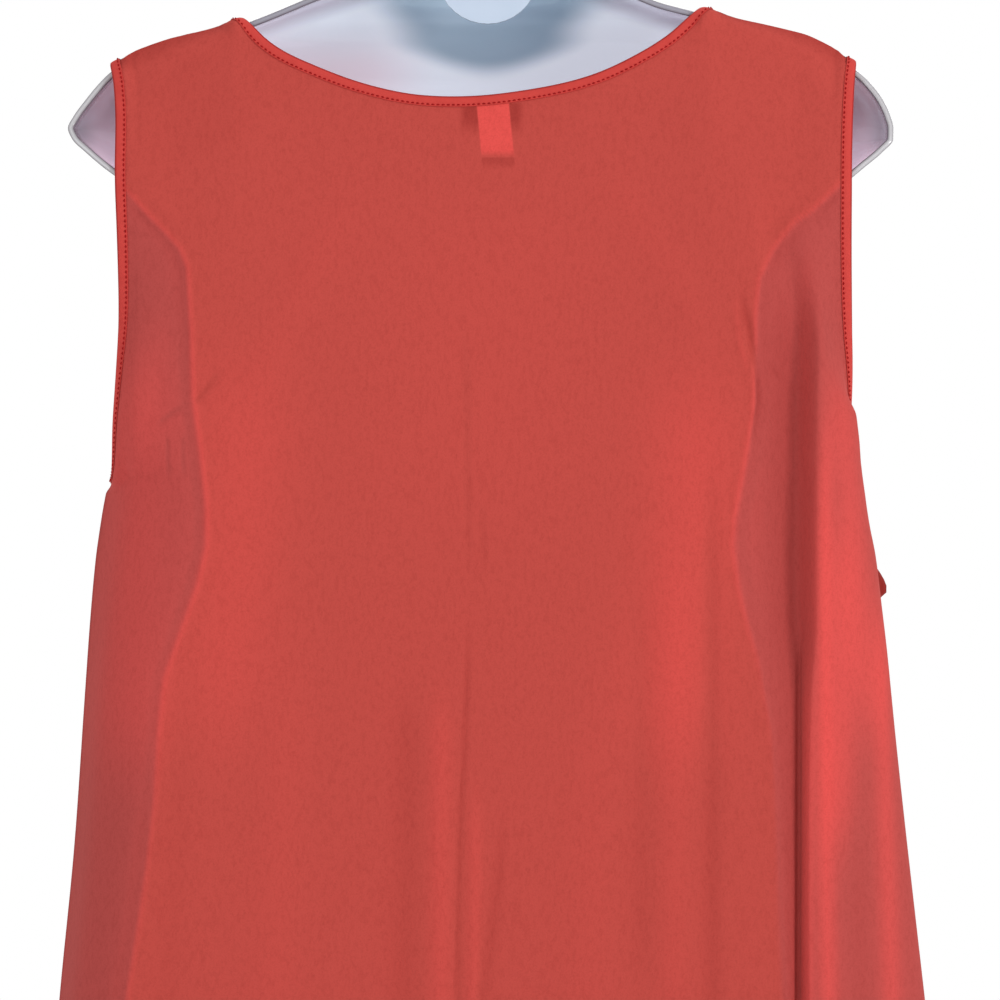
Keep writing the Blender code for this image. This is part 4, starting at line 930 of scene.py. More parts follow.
def makeBackGrid(edges):
    left, _, leftWay = sideBoundary(-1, edges["armBack", -1])
    right, _, rightWay = sideBoundary(1, edges["armBack", 1])
    columns = clothFine["backColumns"]
    heights = rowHeights[:-1]
    table = readAll(backSections, heights)
    outlineRight = readAll(sideOutline, heights)[:, 1]
    wingIn, wingBack = backPanel["leftWing"]
    out, forward, more = backPanel["rightWing"]
    rows = []
    for r, z in enumerate(heights):
        rimL, crease, rimR, rimY, sag, valley, valleyY, ridge, ridgeY = table[r]
        a, b = left[r], right[r]
        wing = (a[0] + wingIn * (rimL - a[0]), a[1] + wingBack * (rimY - a[1]))
        turned = min(1.0, max(0.0, (b[1] + backPanel["turn"][0]) / backPanel["turn"][1]))
        edgeX = ridge + out * (b[0] - ridge)
        edgeX += (outlineRight[r] - backPanel["insideOutline"] - edgeX) * turned
        edge = (edgeX, b[1] + (forward + more * turned) * (ridgeY - b[1]))
        sagged = rimY + sag * backPanel["valleySag"]
        anchors = np.array((
            (a[0], a[1]), wing, (rimL, rimY), ((rimL + crease) / 2, sagged),
            (crease, rimY + sag), ((rimR + crease) / 2, sagged), (rimR, rimY),
            (valley, valleyY), (ridge, ridgeY), edge, (b[0], b[1]),
        ))
        keys = lengthsAlong(anchors)
        where = [keys[:1]]
        for i, count in enumerate(columns):
            where.append(np.linspace(keys[i], keys[i + 1], count + 1)[1:])
        rows.append(curveAt(keys, anchors, np.concatenate(where)))
    line = np.array(rows)
    z = sheared(line[..., 0], heights[:, None], left[:-1], right[:-1])
    grid = np.concatenate([line, z[..., None]], axis=2)
    spans = (sum(columns[:2]), sum(columns[6:]))
    top = topRow(left[-1], right[-1], edges["neckBackFine"], spans)
    grid = np.concatenate([grid, top[None]])
    blend = lead(heights, backPanel["leadFrom"], leads["back"])[:, None]
    grid[:-1, 1:-1, 0] += (top[1:-1, 0] - grid[:-1, 1:-1, 0]) * blend
    leadUp(grid, backPanel["leadFrom"])
    upper = heights >= backPanel["leadFrom"]
    x, z = grid[:-1][upper][:, 1:-1, 0], grid[:-1][upper][:, 1:-1, 2]
    flat = table[upper, 3:4] + table[upper, 4:5] * sagShare(x)
    rowsUp = np.nonzero(upper)[0]
    grid[rowsUp[0]: rowsUp[-1] + 1, 1:-1, 1] += backPlane(x, z) - flat
    leaveEdges(grid, left, leftWay, right, rightWay)
    return grid


def makeFrontGrid(edges):
    left, _, leftWay = sideBoundary(-1, edges["armFront", -1])
    right, _, rightWay = sideBoundary(1, edges["armFront", 1])
    parts = clothFine["frontParts"]
    columns = (frontPanel["columns"] - 1) * parts + 1
    heights = rowHeights[:-1]
    angle = np.linspace(math.pi, 0.0, columns)
    part = ((squared(np.cos(angle), frontPanel["power"]) + 1) / 2)[None, :, None]
    grid = left[:-1, None] + (right[:-1, None] - left[:-1, None]) * part
    shoulder = (frontPanel["columns"] - frontPanel["neckColumns"]) // 2 * parts
    top = topRow(left[-1], right[-1], edges["neckFrontFine"], (shoulder, shoulder))
    grid = np.concatenate([grid, top[None]])
    blend = lead(heights, frontPanel["leadFrom"], leads["front"])[:, None]
    grid[:-1, 1:-1, 0] += (top[1:-1, 0] - grid[:-1, 1:-1, 0]) * blend
    grid[:-1, 1:-1, 2] = sheared(grid[:-1, 1:-1, 0], heights[:, None], left[:-1], right[:-1])
    leadUp(grid, frontPanel["liftFrom"])
    inner = grid[:-1, 1:-1]
    x, z = inner[..., 0], inner[..., 2]
    sideY, roundness = readAll(frontSide, z.ravel()).T
    sideY, roundness = sideY.reshape(x.shape), roundness.reshape(x.shape)
    middle = readAll(frontMiddle, z.ravel())[:, 0].reshape(x.shape)
    width = right[:-1, :1] - left[:-1, :1]
    share = np.minimum(1.0, np.abs(2 * (x - left[:-1, :1]) / width - 1))
    out = (1 - share ** frontPanel["power"]) ** roundness
    leftPull = np.exp(-(((x - left[:-1, :1]) / frontPanel["sidePull"]) ** 2))
    rightPull = np.exp(-(((x - right[:-1, :1]) / frontPanel["sidePull"]) ** 2))
    base = sideY + (left[:-1, 1:2] - sideY) * leftPull + (right[:-1, 1:2] - sideY) * rightPull
    y = base + (middle - base) * out
    for r in range(x.shape[0]):
        for c in range(x.shape[1]):
            hit = formTree.ray_cast(Vector((x[r, c], farFront, z[r, c])), Vector((0, -1, 0)))[0]
            if hit is not None:
                y[r, c] = max(y[r, c], hit.y + cloth["clear"] + cloth["wall"])
    grid[:-1, 1:-1, 1] = y
    leaveEdges(grid, left, leftWay, right, rightWay)
    return grid


# Folds and creases are drawn as paths of x and height. First the form's rolled rim pressing through
# the back, from the shoulder stub down.
rimPaths = {
    "left": ((-190, 627), (-174, 609), (-164, 599), (-157, 591), (-153, 581), (-151, 547), (-150, 512),
             (-146, 485), (-143, 457), (-143, 436), (-148, 415), (-158, 387), (-165, 367), (-168, 339),
             (-170, 304), (-174, 269), (-179, 235), (-184, 204), (-190, 150), (-194, 90), (-197, 25)),
    "right": ((191, 629), (172, 611), (162, 604), (151, 590), (144, 575), (142, 554), (142, 533),
              (141, 505), (136, 477), (131, 450), (130, 436), (133, 415), (138, 394), (143, 377),
              (146, 360), (150, 339), (152, 304), (154, 235), (158, 160), (162, 90), (166, 25)),
}
# Each row: path, half width at its start and at its end, how far it stands out (minus is a trough), how
# soft its ends are, and its painted light: above 0 a painted highlight, paler where the light comes
# through, below 0 painted shade.
backFolds = [
    # the deep fold at the right: its crease, and painted light and painted shade on the cloth beside it
    (((165.5, 391), (164.9, 356), (164.7, 286), (164.4, 200), (164.5, 120), (168, 25)),
     1.1, 1.2, -1.4, 0.05, -0.30),
    (((168.5, 600), (169.5, 560), (169.5, 500), (169, 440), (168.5, 380)),
     4.5, 4.0, 0.0, 0.12, 0.10),
    (((171, 405), (170, 340), (169.3, 250), (169.3, 150), (173, 25)), 3.4, 3.2, 0.0, 0.2, 0.40),
    (((154, 590), (155, 540), (155, 480), (154, 420), (157, 340), (158, 250), (159, 120),
      (163, 25)), 8.0, 6.5, 0.0, 0.1, -0.06),
    (((178, 530), (178.5, 490), (178, 460), (177.5, 408), (178, 339), (178.5, 269), (180, 200),
      (183, 100), (184, 25)), 4.5, 5.0, 0.7, 0.16, 0.46),
    (((184, 550), (188, 501), (190, 481), (192.5, 460), (194.5, 429), (197.5, 398), (201, 356),
      (201, 314)), 9.0, 9.0, 0.0, 0.25, 0.36),
    (((184, 470), (186, 420), (187, 380), (186, 330), (186, 250)), 9.0, 8.0, 0.0, 0.3, 0.40),
    (((207, 430), (208, 380), (210, 300), (213, 200), (218, 100), (223, 25)),
     5.0, 5.5, 1.2, 0.15, 0.36),
    (((192, 330), (194, 300), (198, 200), (206, 25)), 5.0, 6.0, -0.8, 0.25, -0.10),
    # broad fields of painted light, where the form lies close behind, and painted shade at the left
    # shoulder
    (((-128, 565), (-124, 490), (-130, 410), (-138, 340), (-140, 300)), 25.0, 25.0, 0.0, 0.3, 0.19),
    (((-176, 570), (-178, 500), (-181, 420), (-184, 340), (-186, 290)),
     22.0, 21.0, 0.0, 0.25, 0.27),
    (((112, 560), (110, 450), (102, 380), (98, 290)), 26.0, 26.0, 0.0, 0.3, 0.26),
    (((0, 640), (0, 520), (-5, 420)), 60.0, 60.0, 0.0, 0.3, 0.05),
    (((-165, 690), (-135, 640)), 34.0, 34.0, 0.0, 0.2, -0.07),
    # the long crease at the middle, and what runs beside it
    (((-7, 408), (-8, 366), (-9.5, 325), (-11.5, 294), (-12.5, 253), (-13, 202), (-15, 120),
      (-17, 25)), 1.2, 1.4, -0.6, 0.12, -0.26),
    (((-9, 560), (-8, 480), (-7, 408)), 2.2, 1.6, -0.3, 0.25, -0.09),
    (((0, 460), (1, 418)), 1.8, 2.0, -0.3, 0.3, -0.11),
    (((11.5, 304), (8.3, 262), (4.2, 231), (0, 202), (-3, 150)), 2.4, 3.2, -0.5, 0.25, -0.17),
    (((-22, 377), (-22, 300), (-22, 200), (-23, 100), (-24, 25)), 6.0, 7.0, 1.1, 0.15, 0.17),
    (((-4, 325), (-4, 250), (-5, 200), (-7, 25)), 3.6, 4.0, 0.9, 0.15, 0.17),
    (((-41, 377), (-41, 300), (-42, 200), (-44, 25)), 8.0, 9.0, -1.2, 0.15, -0.14),
    (((118, 498), (118, 400), (118, 235), (117, 120), (115, 25)), 4.5, 5.5, -1.2, 0.15, -0.13),
    # soft folds at the right
    (((80, 443), (81, 360), (81, 270), (80, 180)), 6.0, 7.0, -0.8, 0.25, -0.08),
    (((100, 460), (100, 330), (99, 200), (98, 25)), 8.0, 9.0, 0.9, 0.2, 0.08),
    (((-135, 529), (-143, 518), (-152, 507)), 1.8, 1.5, -0.8, 0.35, -0.22),
    # short creases by the left armhole
    (((-153, 510.6), (-163, 504), (-171, 498)), 1.5, 1.3, -0.6, 0.35, -0.18),
    (((-163.8, 496.6), (-164, 484), (-163, 470)), 1.3, 1.3, -0.5, 0.3, -0.14),
    (((-155.5, 496.6), (-155.8, 484), (-155, 470)), 1.3, 1.3, -0.4, 0.3, -0.12),
    (((133.6, 576), (134.5, 566), (137.8, 554), (143, 526), (144.6, 512), (139.4, 485)),
     1.8, 1.6, -1.0, 0.25, -0.30),
    # and by the right one
    (((131, 568), (133.5, 545), (138, 524)), 1.5, 1.3, 0.5, 0.3, 0.10),
    (((148, 531), (153, 527), (158.6, 522.6)), 1.5, 1.3, -0.6, 0.35, -0.14),
    (((31, 664), (33, 655)), 0.9, 0.8, -0.3, 0.3, -0.14),
    # puckers under the neck's strip
    (((38, 662), (41, 652)), 0.9, 0.8, -0.3, 0.3, -0.14),
    (((46, 665), (48, 657)), 0.9, 0.8, -0.2, 0.3, -0.10),
    (((-60, 640), (-100, 560), (-128, 500)), 12.0, 9.0, 0.7, 0.3, 0.03),
    # wide soft folds
    (((55, 645), (95, 585), (122, 530)), 12.0, 9.0, 0.7, 0.3, 0.03),
    (((-96, 420), (-104, 330), (-112, 180), (-116, 25)), 12.0, 15.0, 1.1, 0.25, 0.05),
    (((-150, 420), (-158, 330), (-166, 180), (-172, 25)), 7.0, 9.0, -0.6, 0.25, -0.05),
    (((60, 400), (56, 300), (52, 150), (50, 25)), 12.0, 14.0, 0.8, 0.3, 0.04),
]
# the form's rim pressing through: its line with a painted highlight, the hollow beside it with painted
# shade, how much is left of it below, and the cloth between the rims painted lighter
rimPress = {
    "rise": 0.5, "width": 1.6, "paintedLight": 0.25, "groove": -0.7, "grooveWidth": 3.4, "grooveOut": 5.0,
    "grooveShade": 0.10,
    "fade": (300, 470), "low": {"left": 0.62, "right": 0.22}, "inside": (-1.6, 2.2),
}
# the front's own folds, hanging from the bust and the armholes, with painted light and shade along them
frontFolds = [
    (((-150, 470), (-162, 360), (-172, 200), (-178, 25)), 9.0, 13.0, 3.2, 0.3, 0.06),
    (((150, 470), (163, 360), (178, 200), (190, 25)), 9.0, 13.0, 3.6, 0.3, 0.06),
    (((-95, 430), (-104, 300), (-110, 150), (-112, 25)), 10.0, 15.0, -2.8, 0.3, -0.10),
    (((100, 420), (108, 300), (118, 150), (122, 25)), 10.0, 15.0, -2.6, 0.3, -0.10),
    (((-40, 400), (-44, 250), (-46, 25)), 10.0, 14.0, 2.4, 0.35, 0.06),
    (((30, 380), (34, 220), (40, 25)), 11.0, 14.0, 2.5, 0.35, 0.06),
    (((-5, 330), (-6, 180), (-4, 25)), 8.0, 11.0, -2.2, 0.35, -0.10),
    (((-150, 560), (-120, 520), (-92, 500)), 4.0, 3.0, -1.0, 0.35, -0.10),
    (((152, 556), (124, 522), (98, 504)), 4.0, 3.0, -1.1, 0.35, -0.10),
    (((-160, 520), (-132, 500), (-110, 492)), 3.0, 2.5, -0.7, 0.35, -0.08),
    (((70, 350), (76, 200), (84, 25)), 8.0, 11.0, 1.9, 0.3, 0.04),
    (((-72, 370), (-76, 220), (-80, 25)), 8.0, 11.0, 2.1, 0.3, 0.04),
]
# where the front shows past the back at the right side, with painted shade on it there
peek = {"z": 412.8, "above": 16.0, "below": 6.0, "forward": 10.0, "depth": 7.5, "out": 9.7, "paintedLight": -2.0}
# how the cloth is hung: rounds of settling on the form, of easing, and of lifting off it; the gap to
# the form at the shoulders and from how far, plain and with folds; columns and rows beside the edges
# that stay without folds; how much of the front is painted lighter, as between the rims; and the
# painted shade along the side seams and the top edge
hang = {
    "settle": 3, "ease": 4, "lift": 14, "shoulder": (1.1, 3.0), "folded": (0.5, 3.0), "frontGap": 0.15,
    "quiet": (14, 12), "frontInside": 0.6, "seamWidths": (1.2, 1.0), "seamTop": 476.0, "seamShade": -0.45,
    "edgeTimes": 3,
}
# the hem's turn-up, down round its fold and up inside: how far in from the cloth, how far up
hemTurn = ((0.35, -0.35), (0.8, -0.4), (1.15, 0.2), (1.2, 4.0), (1.2, 9.0), (1.2, 14.5), (1.25, 20.0))


# each fold's rise, and its painted light and shade
def foldField(x, z, folds):
    rise, paintedLight = np.zeros(x.shape), np.zeros(x.shape)
    for path, top, bottom, height, taper, shade in folds:
        mask = pathMask(x, z, path, top, taper, bottom)
        rise += height * mask
        paintedLight += shade * mask
    return rise, paintedLight


def rimField(x, z):
    # the rim's shape, its painted highlight and shade, and where the cloth between the rims is painted
    # lighter
    rise, paintedLight, inside = np.zeros(x.shape), np.zeros(x.shape), np.ones(x.shape)
    for name, outwards in (("left", -1), ("right", 1)):
        left = rimPress["low"][name]
        strength = left + (1 - left) * smoothStep(*rimPress["fade"], z)
        mask = pathMask(x, z, rimPaths[name], rimPress["width"], 0) * strength
        path = np.array(rimPaths[name], float)[::-1]
        out = (x - np.interp(z, path[:, 1], path[:, 0])) * outwards
        groove = np.exp(-((out - rimPress["grooveOut"]) / rimPress["grooveWidth"]) ** 2) * strength
        rise += rimPress["rise"] * mask + rimPress["groove"] * groove
        paintedLight += rimPress["paintedLight"] * mask - rimPress["grooveShade"] * groove
        inside *= 1 - smoothStep(*rimPress["inside"], out)
    return rise, paintedLight, inside


crepe = {
    "body": colour(0.520, 0.070, 0.056),     # over the form's hollow: its own red, painted lighter where the white form behind lights it through
    "outside": colour(0.470, 0.072, 0.064),  # past the rims: its own red with painted shade, with nothing pale close behind it
    "deep": colour(0.270, 0.020, 0.016),     # painted shade in the creases
    "pale": colour(0.900, 0.092, 0.082),     # painted highlight on lit ridges, and painted light where something pale lies close behind
    "speck": colour(0.74, 0.62, 0.62),       # the crepe's darker grain, laid over the rest
    "rough": 0.85, "specks": 0.24, "bump": (0.6, 0.00016),
    "grain": (1100.0, 2.0, 0.6), "grainStep": (0.44, 0.66),
    "slub": (430.0, 3.0, 0.6, (1.0, 1.0, 0.5)), "slubStep": (0.44, 0.68), "slubHeight": 0.5,
}
clothSheen = {
    "Sheen Weight": 0.08, "Sheen Roughness": 0.45, "Sheen Tint": colour(1.0, 0.5, 0.45),
    "Specular IOR Level": 0.10,
}
# the tab as it shows through the cloth, and the shade beside and under it
labelLook = {
    "x": 8.3, "half": 8.5, "soft": 0.5, "top": 667.0, "bottom": 638.6, "lean": 0.095, "strength": 0.62,
    "bottomStep": (-0.8, 4.5), "topStep": (-0.4, 0.8),
    "shadeX": 5.0, "shadeHalf": 15.5, "shadeSoft": 2.5, "shadeLow": 652.0, "shadeStep": (-4, 8),
    "shadeTop": (-1, 1), "shade": 0.85,
    "under": 0.5, "underTall": 6.0, "underTop": (-0.2, 0.6), "underStep": (-1.5, 4),
}


def within(distance, half, soft):
    return abs(distance).step(half + soft, half - soft)


def overLabels(base, x, z):
    look = labelLook
    fromTop, fromBottom = look["top"] - z, z - look["bottom"]
    wide = within(x - look["x"] + fromBottom * look["lean"], look["half"], look["soft"])
    tall = fromBottom.step(*look["bottomStep"]) * fromTop.step(*look["topStep"])
    base = (wide * tall * look["strength"]).blend(base, crepe["pale"])
    beside = within(x - look["shadeX"], look["shadeHalf"], look["shadeSoft"]) * (1 - wide)
    beside = beside * (z - look["shadeLow"]).step(*look["shadeStep"]) * fromTop.step(*look["shadeTop"])
    under = (fromBottom + look["underTall"]).step(*look["underStep"])
    under = wide * (look["bottom"] - z).step(*look["underTop"]) * under
    shade = beside * look["shade"] + under * look["under"]
    return (shade * look["strength"]).blend(base, crepe["deep"])


def crepeMaterial(name, back):
    material, shader, place = newMaterial(name, crepe["rough"], clothSheen)
    # painted light and shade: lighter over the hollow between the rims, paler where 'pale' is stored,
    # darker where 'deep' is stored
    base = stored(place, "inside").blend(crepe["outside"], crepe["body"])
    base = stored(place, "pale").blend(base, crepe["pale"])
    if back:
        x, y, z = axes(place)
        base = overLabels(base, x, z)
    base = stored(place, "deep").blend(base, crepe["deep"])
    grain, slub = noise(place, *crepe["grain"]), noise(place, *crepe["slub"])
    specks = (slub.step(*crepe["slubStep"]) + grain.step(*crepe["grainStep"])) * crepe["specks"]
    feed(shader, {
        "Base Color": specks.stain(base, crepe["speck"]),
        "Normal": bump(grain + slub * crepe["slubHeight"], *crepe["bump"]),
    })
    return material


# the folded strips, with painted shade along their fold and their free edge, and darker patches at random
strip = {
    "colour": colour(0.600, 0.060, 0.050), "shade": colour(0.34, 0.020, 0.018), "rough": 0.8,
    "edge": (0.22, 0.08), "inner": (0.90, 1.0), "wander": (160.0, 2.0), "wanderStep": (0.45, 0.7),
    "darker": (0.75, 0.35, 0.10), "twill": (1100.0, 2.0, 0.6), "bump": (0.5, 0.00018),
}


def bindingMaterial():
    material, shader, place = newMaterial("folded_binding", strip["rough"], clothSheen)
    across = stored(place, "across")
    places = (
        across.step(*strip["edge"]), across.step(*strip["inner"]),
        noise(place, *strip["wander"]).step(*strip["wanderStep"]),
    )
    edge, inner, wander = [wire * share for wire, share in zip(places, strip["darker"])]
    feed(shader, {
        "Base Color": (edge + inner + wander).blend(strip["colour"], strip["shade"]),
        "Normal": bump(noise(place, *strip["twill"]), *strip["bump"]),
    })
    return material


thread = {
    "rough": 0.9, "settings": {"Specular IOR Level": 0.05}, "pattern": (2600.0, 1.0),
    "between": (0.35, 0.65), "bump": (0.4, 0.0001),
    "tones": (colour(0.27, 0.006, 0.008), colour(0.42, 0.012, 0.014)),
}
woven = {
    "rough": 0.6, "settings": {"Sheen Weight": 0.3}, "pattern": (1800.0, 1.0, 0.5, (1.0, 1.0, 3.0)),
    "between": (0.4, 0.6), "bump": (0.4, 0.0001),
    "tones": (colour(0.78, 0.75, 0.73), colour(0.70, 0.67, 0.65)),
}


# two tones in a fine pattern
def twoTone(name, look):
    material, shader, place = newMaterial(name, look["rough"], look["settings"])
    pattern = noise(place, *look["pattern"])
    feed(shader, {
        "Base Color": pattern.step(*look["between"]).blend(*look["tones"]),
        "Normal": bump(pattern, *look["bump"]),
    })
    return material


plastic = {
    "outside": colour(0.62, 0.61, 0.63), "cloudy": colour(0.58, 0.575, 0.60),
    "rim": colour(0.59, 0.58, 0.60), "rimHigh": colour(0.34, 0.33, 0.39), "high": (688.0, 704.0),
    # the blue-grey of the neck's parts and of the hollow is painted shade on the white plastic
    "neck": colour(0.56, 0.655, 0.80), "neckCloudy": colour(0.50, 0.60, 0.74),
    "hollow": colour(0.52, 0.62, 0.70), "lipShade": colour(0.09, 0.065, 0.09), "lipShare": 0.9,
    "rough": 0.17, "rougher": 0.08, "bump": (0.15, 0.0012), "speckHeight": 0.02,
    "clouds": (18.0, 2.0), "cloudStep": (0.35, 0.7), "specks": (420.0, 2.0), "speckStep": (0.3, 0.7),
    "settings": {"Coat Weight": 0.5, "Coat Roughness": 0.08, "Specular IOR Level": 0.5, "IOR": 1.5},
}
# A painted glow in the hollow, standing in for light through the thin wall: dim and blue under the neck,
# paler lower and at the sides, pinker in the stubs, and nothing at their tips.
through = {
    "middle": colour(0.01, 0.065, 0.12), "sides": colour(0.42, 0.44, 0.51),
    "sidesLow": colour(0.42, 0.33, 0.39), "corner": colour(0.09, 0.06, 0.10),
    "stubs": colour(0.34, 0.24, 0.30), "stubsHigh": colour(0.13, 0.065, 0.08),
    "none": colour(0.0, 0.0, 0.0), "from": (570.0, 640.0), "tip": (200.0, 214.0),
    "centre": 3.0, "round": 400.0, "turn": (34.0, 62.0), "low": (704.0, 674.0), "lowWider": 48.0,
    "top": (706.0, 722.0), "topNarrower": 10.0, "sidesFrom": (710.0, 684.0), "pinkFrom": (18.0, 66.0),
    "ridge": (720.0, 85.5, 0.31), "ridgeCentre": -3.5, "ridgeTurn": (1.0, 11.0),
    "stubFrom": (150.0, 184.0), "stubRise": (636.0, 668.0),
}


def glowThrough(x, z):
    aside = x - through["centre"]
    out = x.maths("SQRT", aside * aside + through["round"])
    out = out + z.step(*through["low"]) * through["lowWider"]
    out = out - z.step(*through["top"]) * through["topNarrower"]
    pink = z.step(*through["sidesFrom"]) * (0 - x).step(*through["pinkFrom"])
    sides = pink.blend(through["sides"], through["sidesLow"])
    top, reach, slope = through["ridge"]
    below = (abs(x - through["ridgeCentre"]) - reach) * -slope + top - z
    corner = 1 - below.step(*through["ridgeTurn"])
    sides = corner.blend(sides, through["corner"])
    glow = out.step(*through["turn"]).blend(through["middle"], sides)
    stub = z.step(*through["stubRise"]).blend(through["stubs"], through["stubsHigh"])
    return abs(x).step(*through["stubFrom"]).blend(glow, stub)


def plasticMaterial(name, hollow):
    material, shader, place = newMaterial(name, plastic["rough"], plastic["settings"])
    clouds, specks = noise(place, *plastic["clouds"]), noise(place, *plastic["specks"])
    cloudy = clouds.step(*plastic["cloudStep"])
    if hollow:
        x, y, z = axes(place)
        inHollow, lipShade = stored(place, "hollow"), stored(place, "lipShade")
        # the rolled rim painted a little darker than the shell, and much darker near its top: painted
        # shade
        rim = z.step(*plastic["high"]).blend(plastic["rim"], plastic["rimHigh"])
        tone = stored(place, "rim").blend(cloudy.blend(plastic["outside"], plastic["cloudy"]), rim)
        # the hollow painted in blue-grey shade
        tone = inHollow.blend(tone, plastic["hollow"])
        # the painted shade of the rim's inner edge and outline
        tone = (lipShade * plastic["lipShare"]).blend(tone, plastic["lipShade"])
        # the painted glow, only in the hollow and off the rim's shade
        shown = inHollow * z.step(*through["from"]) * (1 - lipShade) * (1 - abs(x).step(*through["tip"]))
        feed(shader, {"Emission Color": shown.blend(through["none"], glowThrough(x, z))})
        shader.inputs["Emission Strength"].default_value = 1.0
    else:
        # the neck's parts painted in blue-grey shade, clouded at random
        tone = cloudy.blend(plastic["neck"], plastic["neckCloudy"])
    feed(shader, {
        "Base Color": tone,
        "Roughness": specks.step(*plastic["speckStep"]) * plastic["rougher"] + plastic["rough"],
        "Normal": bump(clouds + specks * plastic["speckHeight"], *plastic["bump"]),
    })
    return material


def paperMaterial():
    material, shader, place = newMaterial("pale_paper", 0.9)
    tones = colour(*room["paper"]), colour(*room["paperLow"])
    feed(shader, {"Base Color": noise(place, 3.0, 1.0).blend(*tones)})
    return material


# making it all
materials = {
    "back": crepeMaterial("crepe_back", True),
    "front": crepeMaterial("crepe_front", False),
    "binding": bindingMaterial(),
    "thread": twoTone("red_thread", thread),
    "label": twoTone("woven_label", woven),
    "shell": plasticMaterial("moulded_plastic", True),
    "cap": plasticMaterial("moulded_plastic_shaded", False),
    "paper": paperMaterial(),
}
print("materials are made")

turns = np.linspace(0, 2 * math.pi, room["floorSides"], endpoint=False)
radius = room["floorRadius"]
disc = [(radius * math.cos(turn), radius * math.sin(turn), room["floorZ"]) for turn in turns]
floorDisc = makeMesh("studio_floor", disc, [tuple(range(len(disc)))], materials["paper"], smooth=False)

shell, shellTree = makeFormShell(materials["shell"])
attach(shell, "root")
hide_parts("form_shell")
for node in ("form_floor", "form_neck_cap", "form_neck_tongue"):
    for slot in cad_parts[node].material_slots:
        slot.material = materials["cap"]
print("the form is moulded")

edges = buildEdges()
edges["neckBackFine"] = resample(edges["neckBack"], sum(clothFine["backColumns"][2:6]) + 1)
shoulderSpans = (frontPanel["columns"] - frontPanel["neckColumns"]) // 2
frontSteps = (frontPanel["columns"] - 1 - 2 * shoulderSpans) * clothFine["frontParts"]
edges["neckFrontFine"] = resample(edges["neckFront"], frontSteps + 1)
stripEdges = {
    "neck_binding": "neck", "armhole_binding_left": ("arm", -1), "armhole_binding_right": ("arm", 1),
}
print("the edges are laid")


def turnedHem(grid, normals):
    facing = normals[0].copy()
    facing[:, 2] = 0
    rows = []
    for inward, up in hemTurn:
        row = grid[np.searchsorted(grid[:, 0, 2], cloth["hem"] + up) if up > 1 else 0].copy()
        row[:, 2] = cloth["hem"] + up
        rows.append(row - unit(facing) * inward)
    return np.concatenate([np.array(rows[::-1]), grid])


def offShoulders(grid, gap):
    grid[shoulderRows] = outOfForm(grid[shoulderRows], *gap)
    return grid


# how far the front's side stands out at each point, where it shows past the back, and how much painted
# shade it gets there
def peekShape(x, y, z, seam):
    tall = np.where(z > peek["z"], peek["above"], peek["below"])
    forward = (y - seam - peek["forward"]) / peek["depth"]
    return np.exp(-((z - peek["z"]) / tall) ** 2 - forward ** 2) * (x > 0)


def clothPiece(name, grid, isBack, material):
    grid = smoothUnderarms(relax(settlePanel(grid, isBack, hang["settle"]), hang["ease"]))
    if isBack:
        grid = flareOut(grid)
        for _ in range(hang["settle"]):
            grid[:-1] = behindForm(grid[:-1], cloth["clear"])
            grid = relax(offShoulders(grid, hang["shoulder"]), 1)
    normals = gridNormals(grid, -1.0 if isBack else 1.0)
    x, z = grid[..., 0], grid[..., 2]
    columns = grid.shape[1]
    fromSide = np.minimum(np.arange(columns), np.arange(columns)[::-1])[None, :]
    fromTop = np.arange(len(grid))[::-1, None]
    quiet = smoothStep(0, hang["quiet"][0], fromSide) * smoothStep(0, hang["quiet"][1], fromTop)
    rise, paintedLight = foldField(x, z, backFolds if isBack else frontFolds)
    inside = np.full(x.shape, hang["frontInside"])
    if isBack:
        press, pressLight, inside = rimField(x, z)
        rise, paintedLight = rise + press, paintedLight + pressLight
    moved = grid + normals * (rise * quiet)[..., None]
    if isBack:
        moved[:-1] = behindForm(moved[:-1], clothFine["underCloth"])
        moved = offShoulders(moved, hang["folded"])
        upper = slice(shoulderRows.start, None)
        moved[upper] = liftOff(moved[upper], normals[upper], hang["lift"])
    else:
        moved += pushesOffRows(moved - normals * clothFine["underCloth"], hang["frontGap"], False)
        shape = peekShape(x, moved[..., 1], z, grid[:, -1:, 1])
        moved[..., 0] += peek["out"] * shape
        paintedLight += peek["paintedLight"] * shape
    moved = layUnder(moved, [denser(edges[key], hang["edgeTimes"]) for key in stripEdges.values()])
    sideWidth, topWidth = hang["seamWidths"]
    sideSeams = np.exp(-(fromSide / sideWidth) ** 2) * (z < hang["seamTop"])
    paintedLight += hang["seamShade"] * np.minimum(sideSeams + np.exp(-(fromTop / topWidth) ** 2), 1)
    whole = turnedHem(moved, normals)
    faces = gridFaces(len(whole), columns, flip=isBack)
    piece = makeMesh(name, whole.reshape(-1, 3), faces, material)
    pad = np.zeros((len(hemTurn), columns))
    # painted light and shade for the material: lighter between the rims, a painted highlight where pale,
    # painted shade where deep
    fields = {"inside": inside, "pale": np.clip(paintedLight, 0, 1), "deep": np.clip(-paintedLight, 0, 1)}
    for key, values in fields.items():
        storeValues(piece, key, np.concatenate([pad + values[:1], values]))
    return piece, moved, normals


backGrid = makeBackGrid(edges)
backCloth, backGrid, backNormals = clothPiece("back_panel_cloth", backGrid, True, materials["back"])
print("the back is hung")
frontGrid = makeFrontGrid(edges)
frontCloth, frontGrid, frontNormals = clothPiece(
    "front_panel_cloth", frontGrid, False, materials["front"]
)
print("the front is hung")


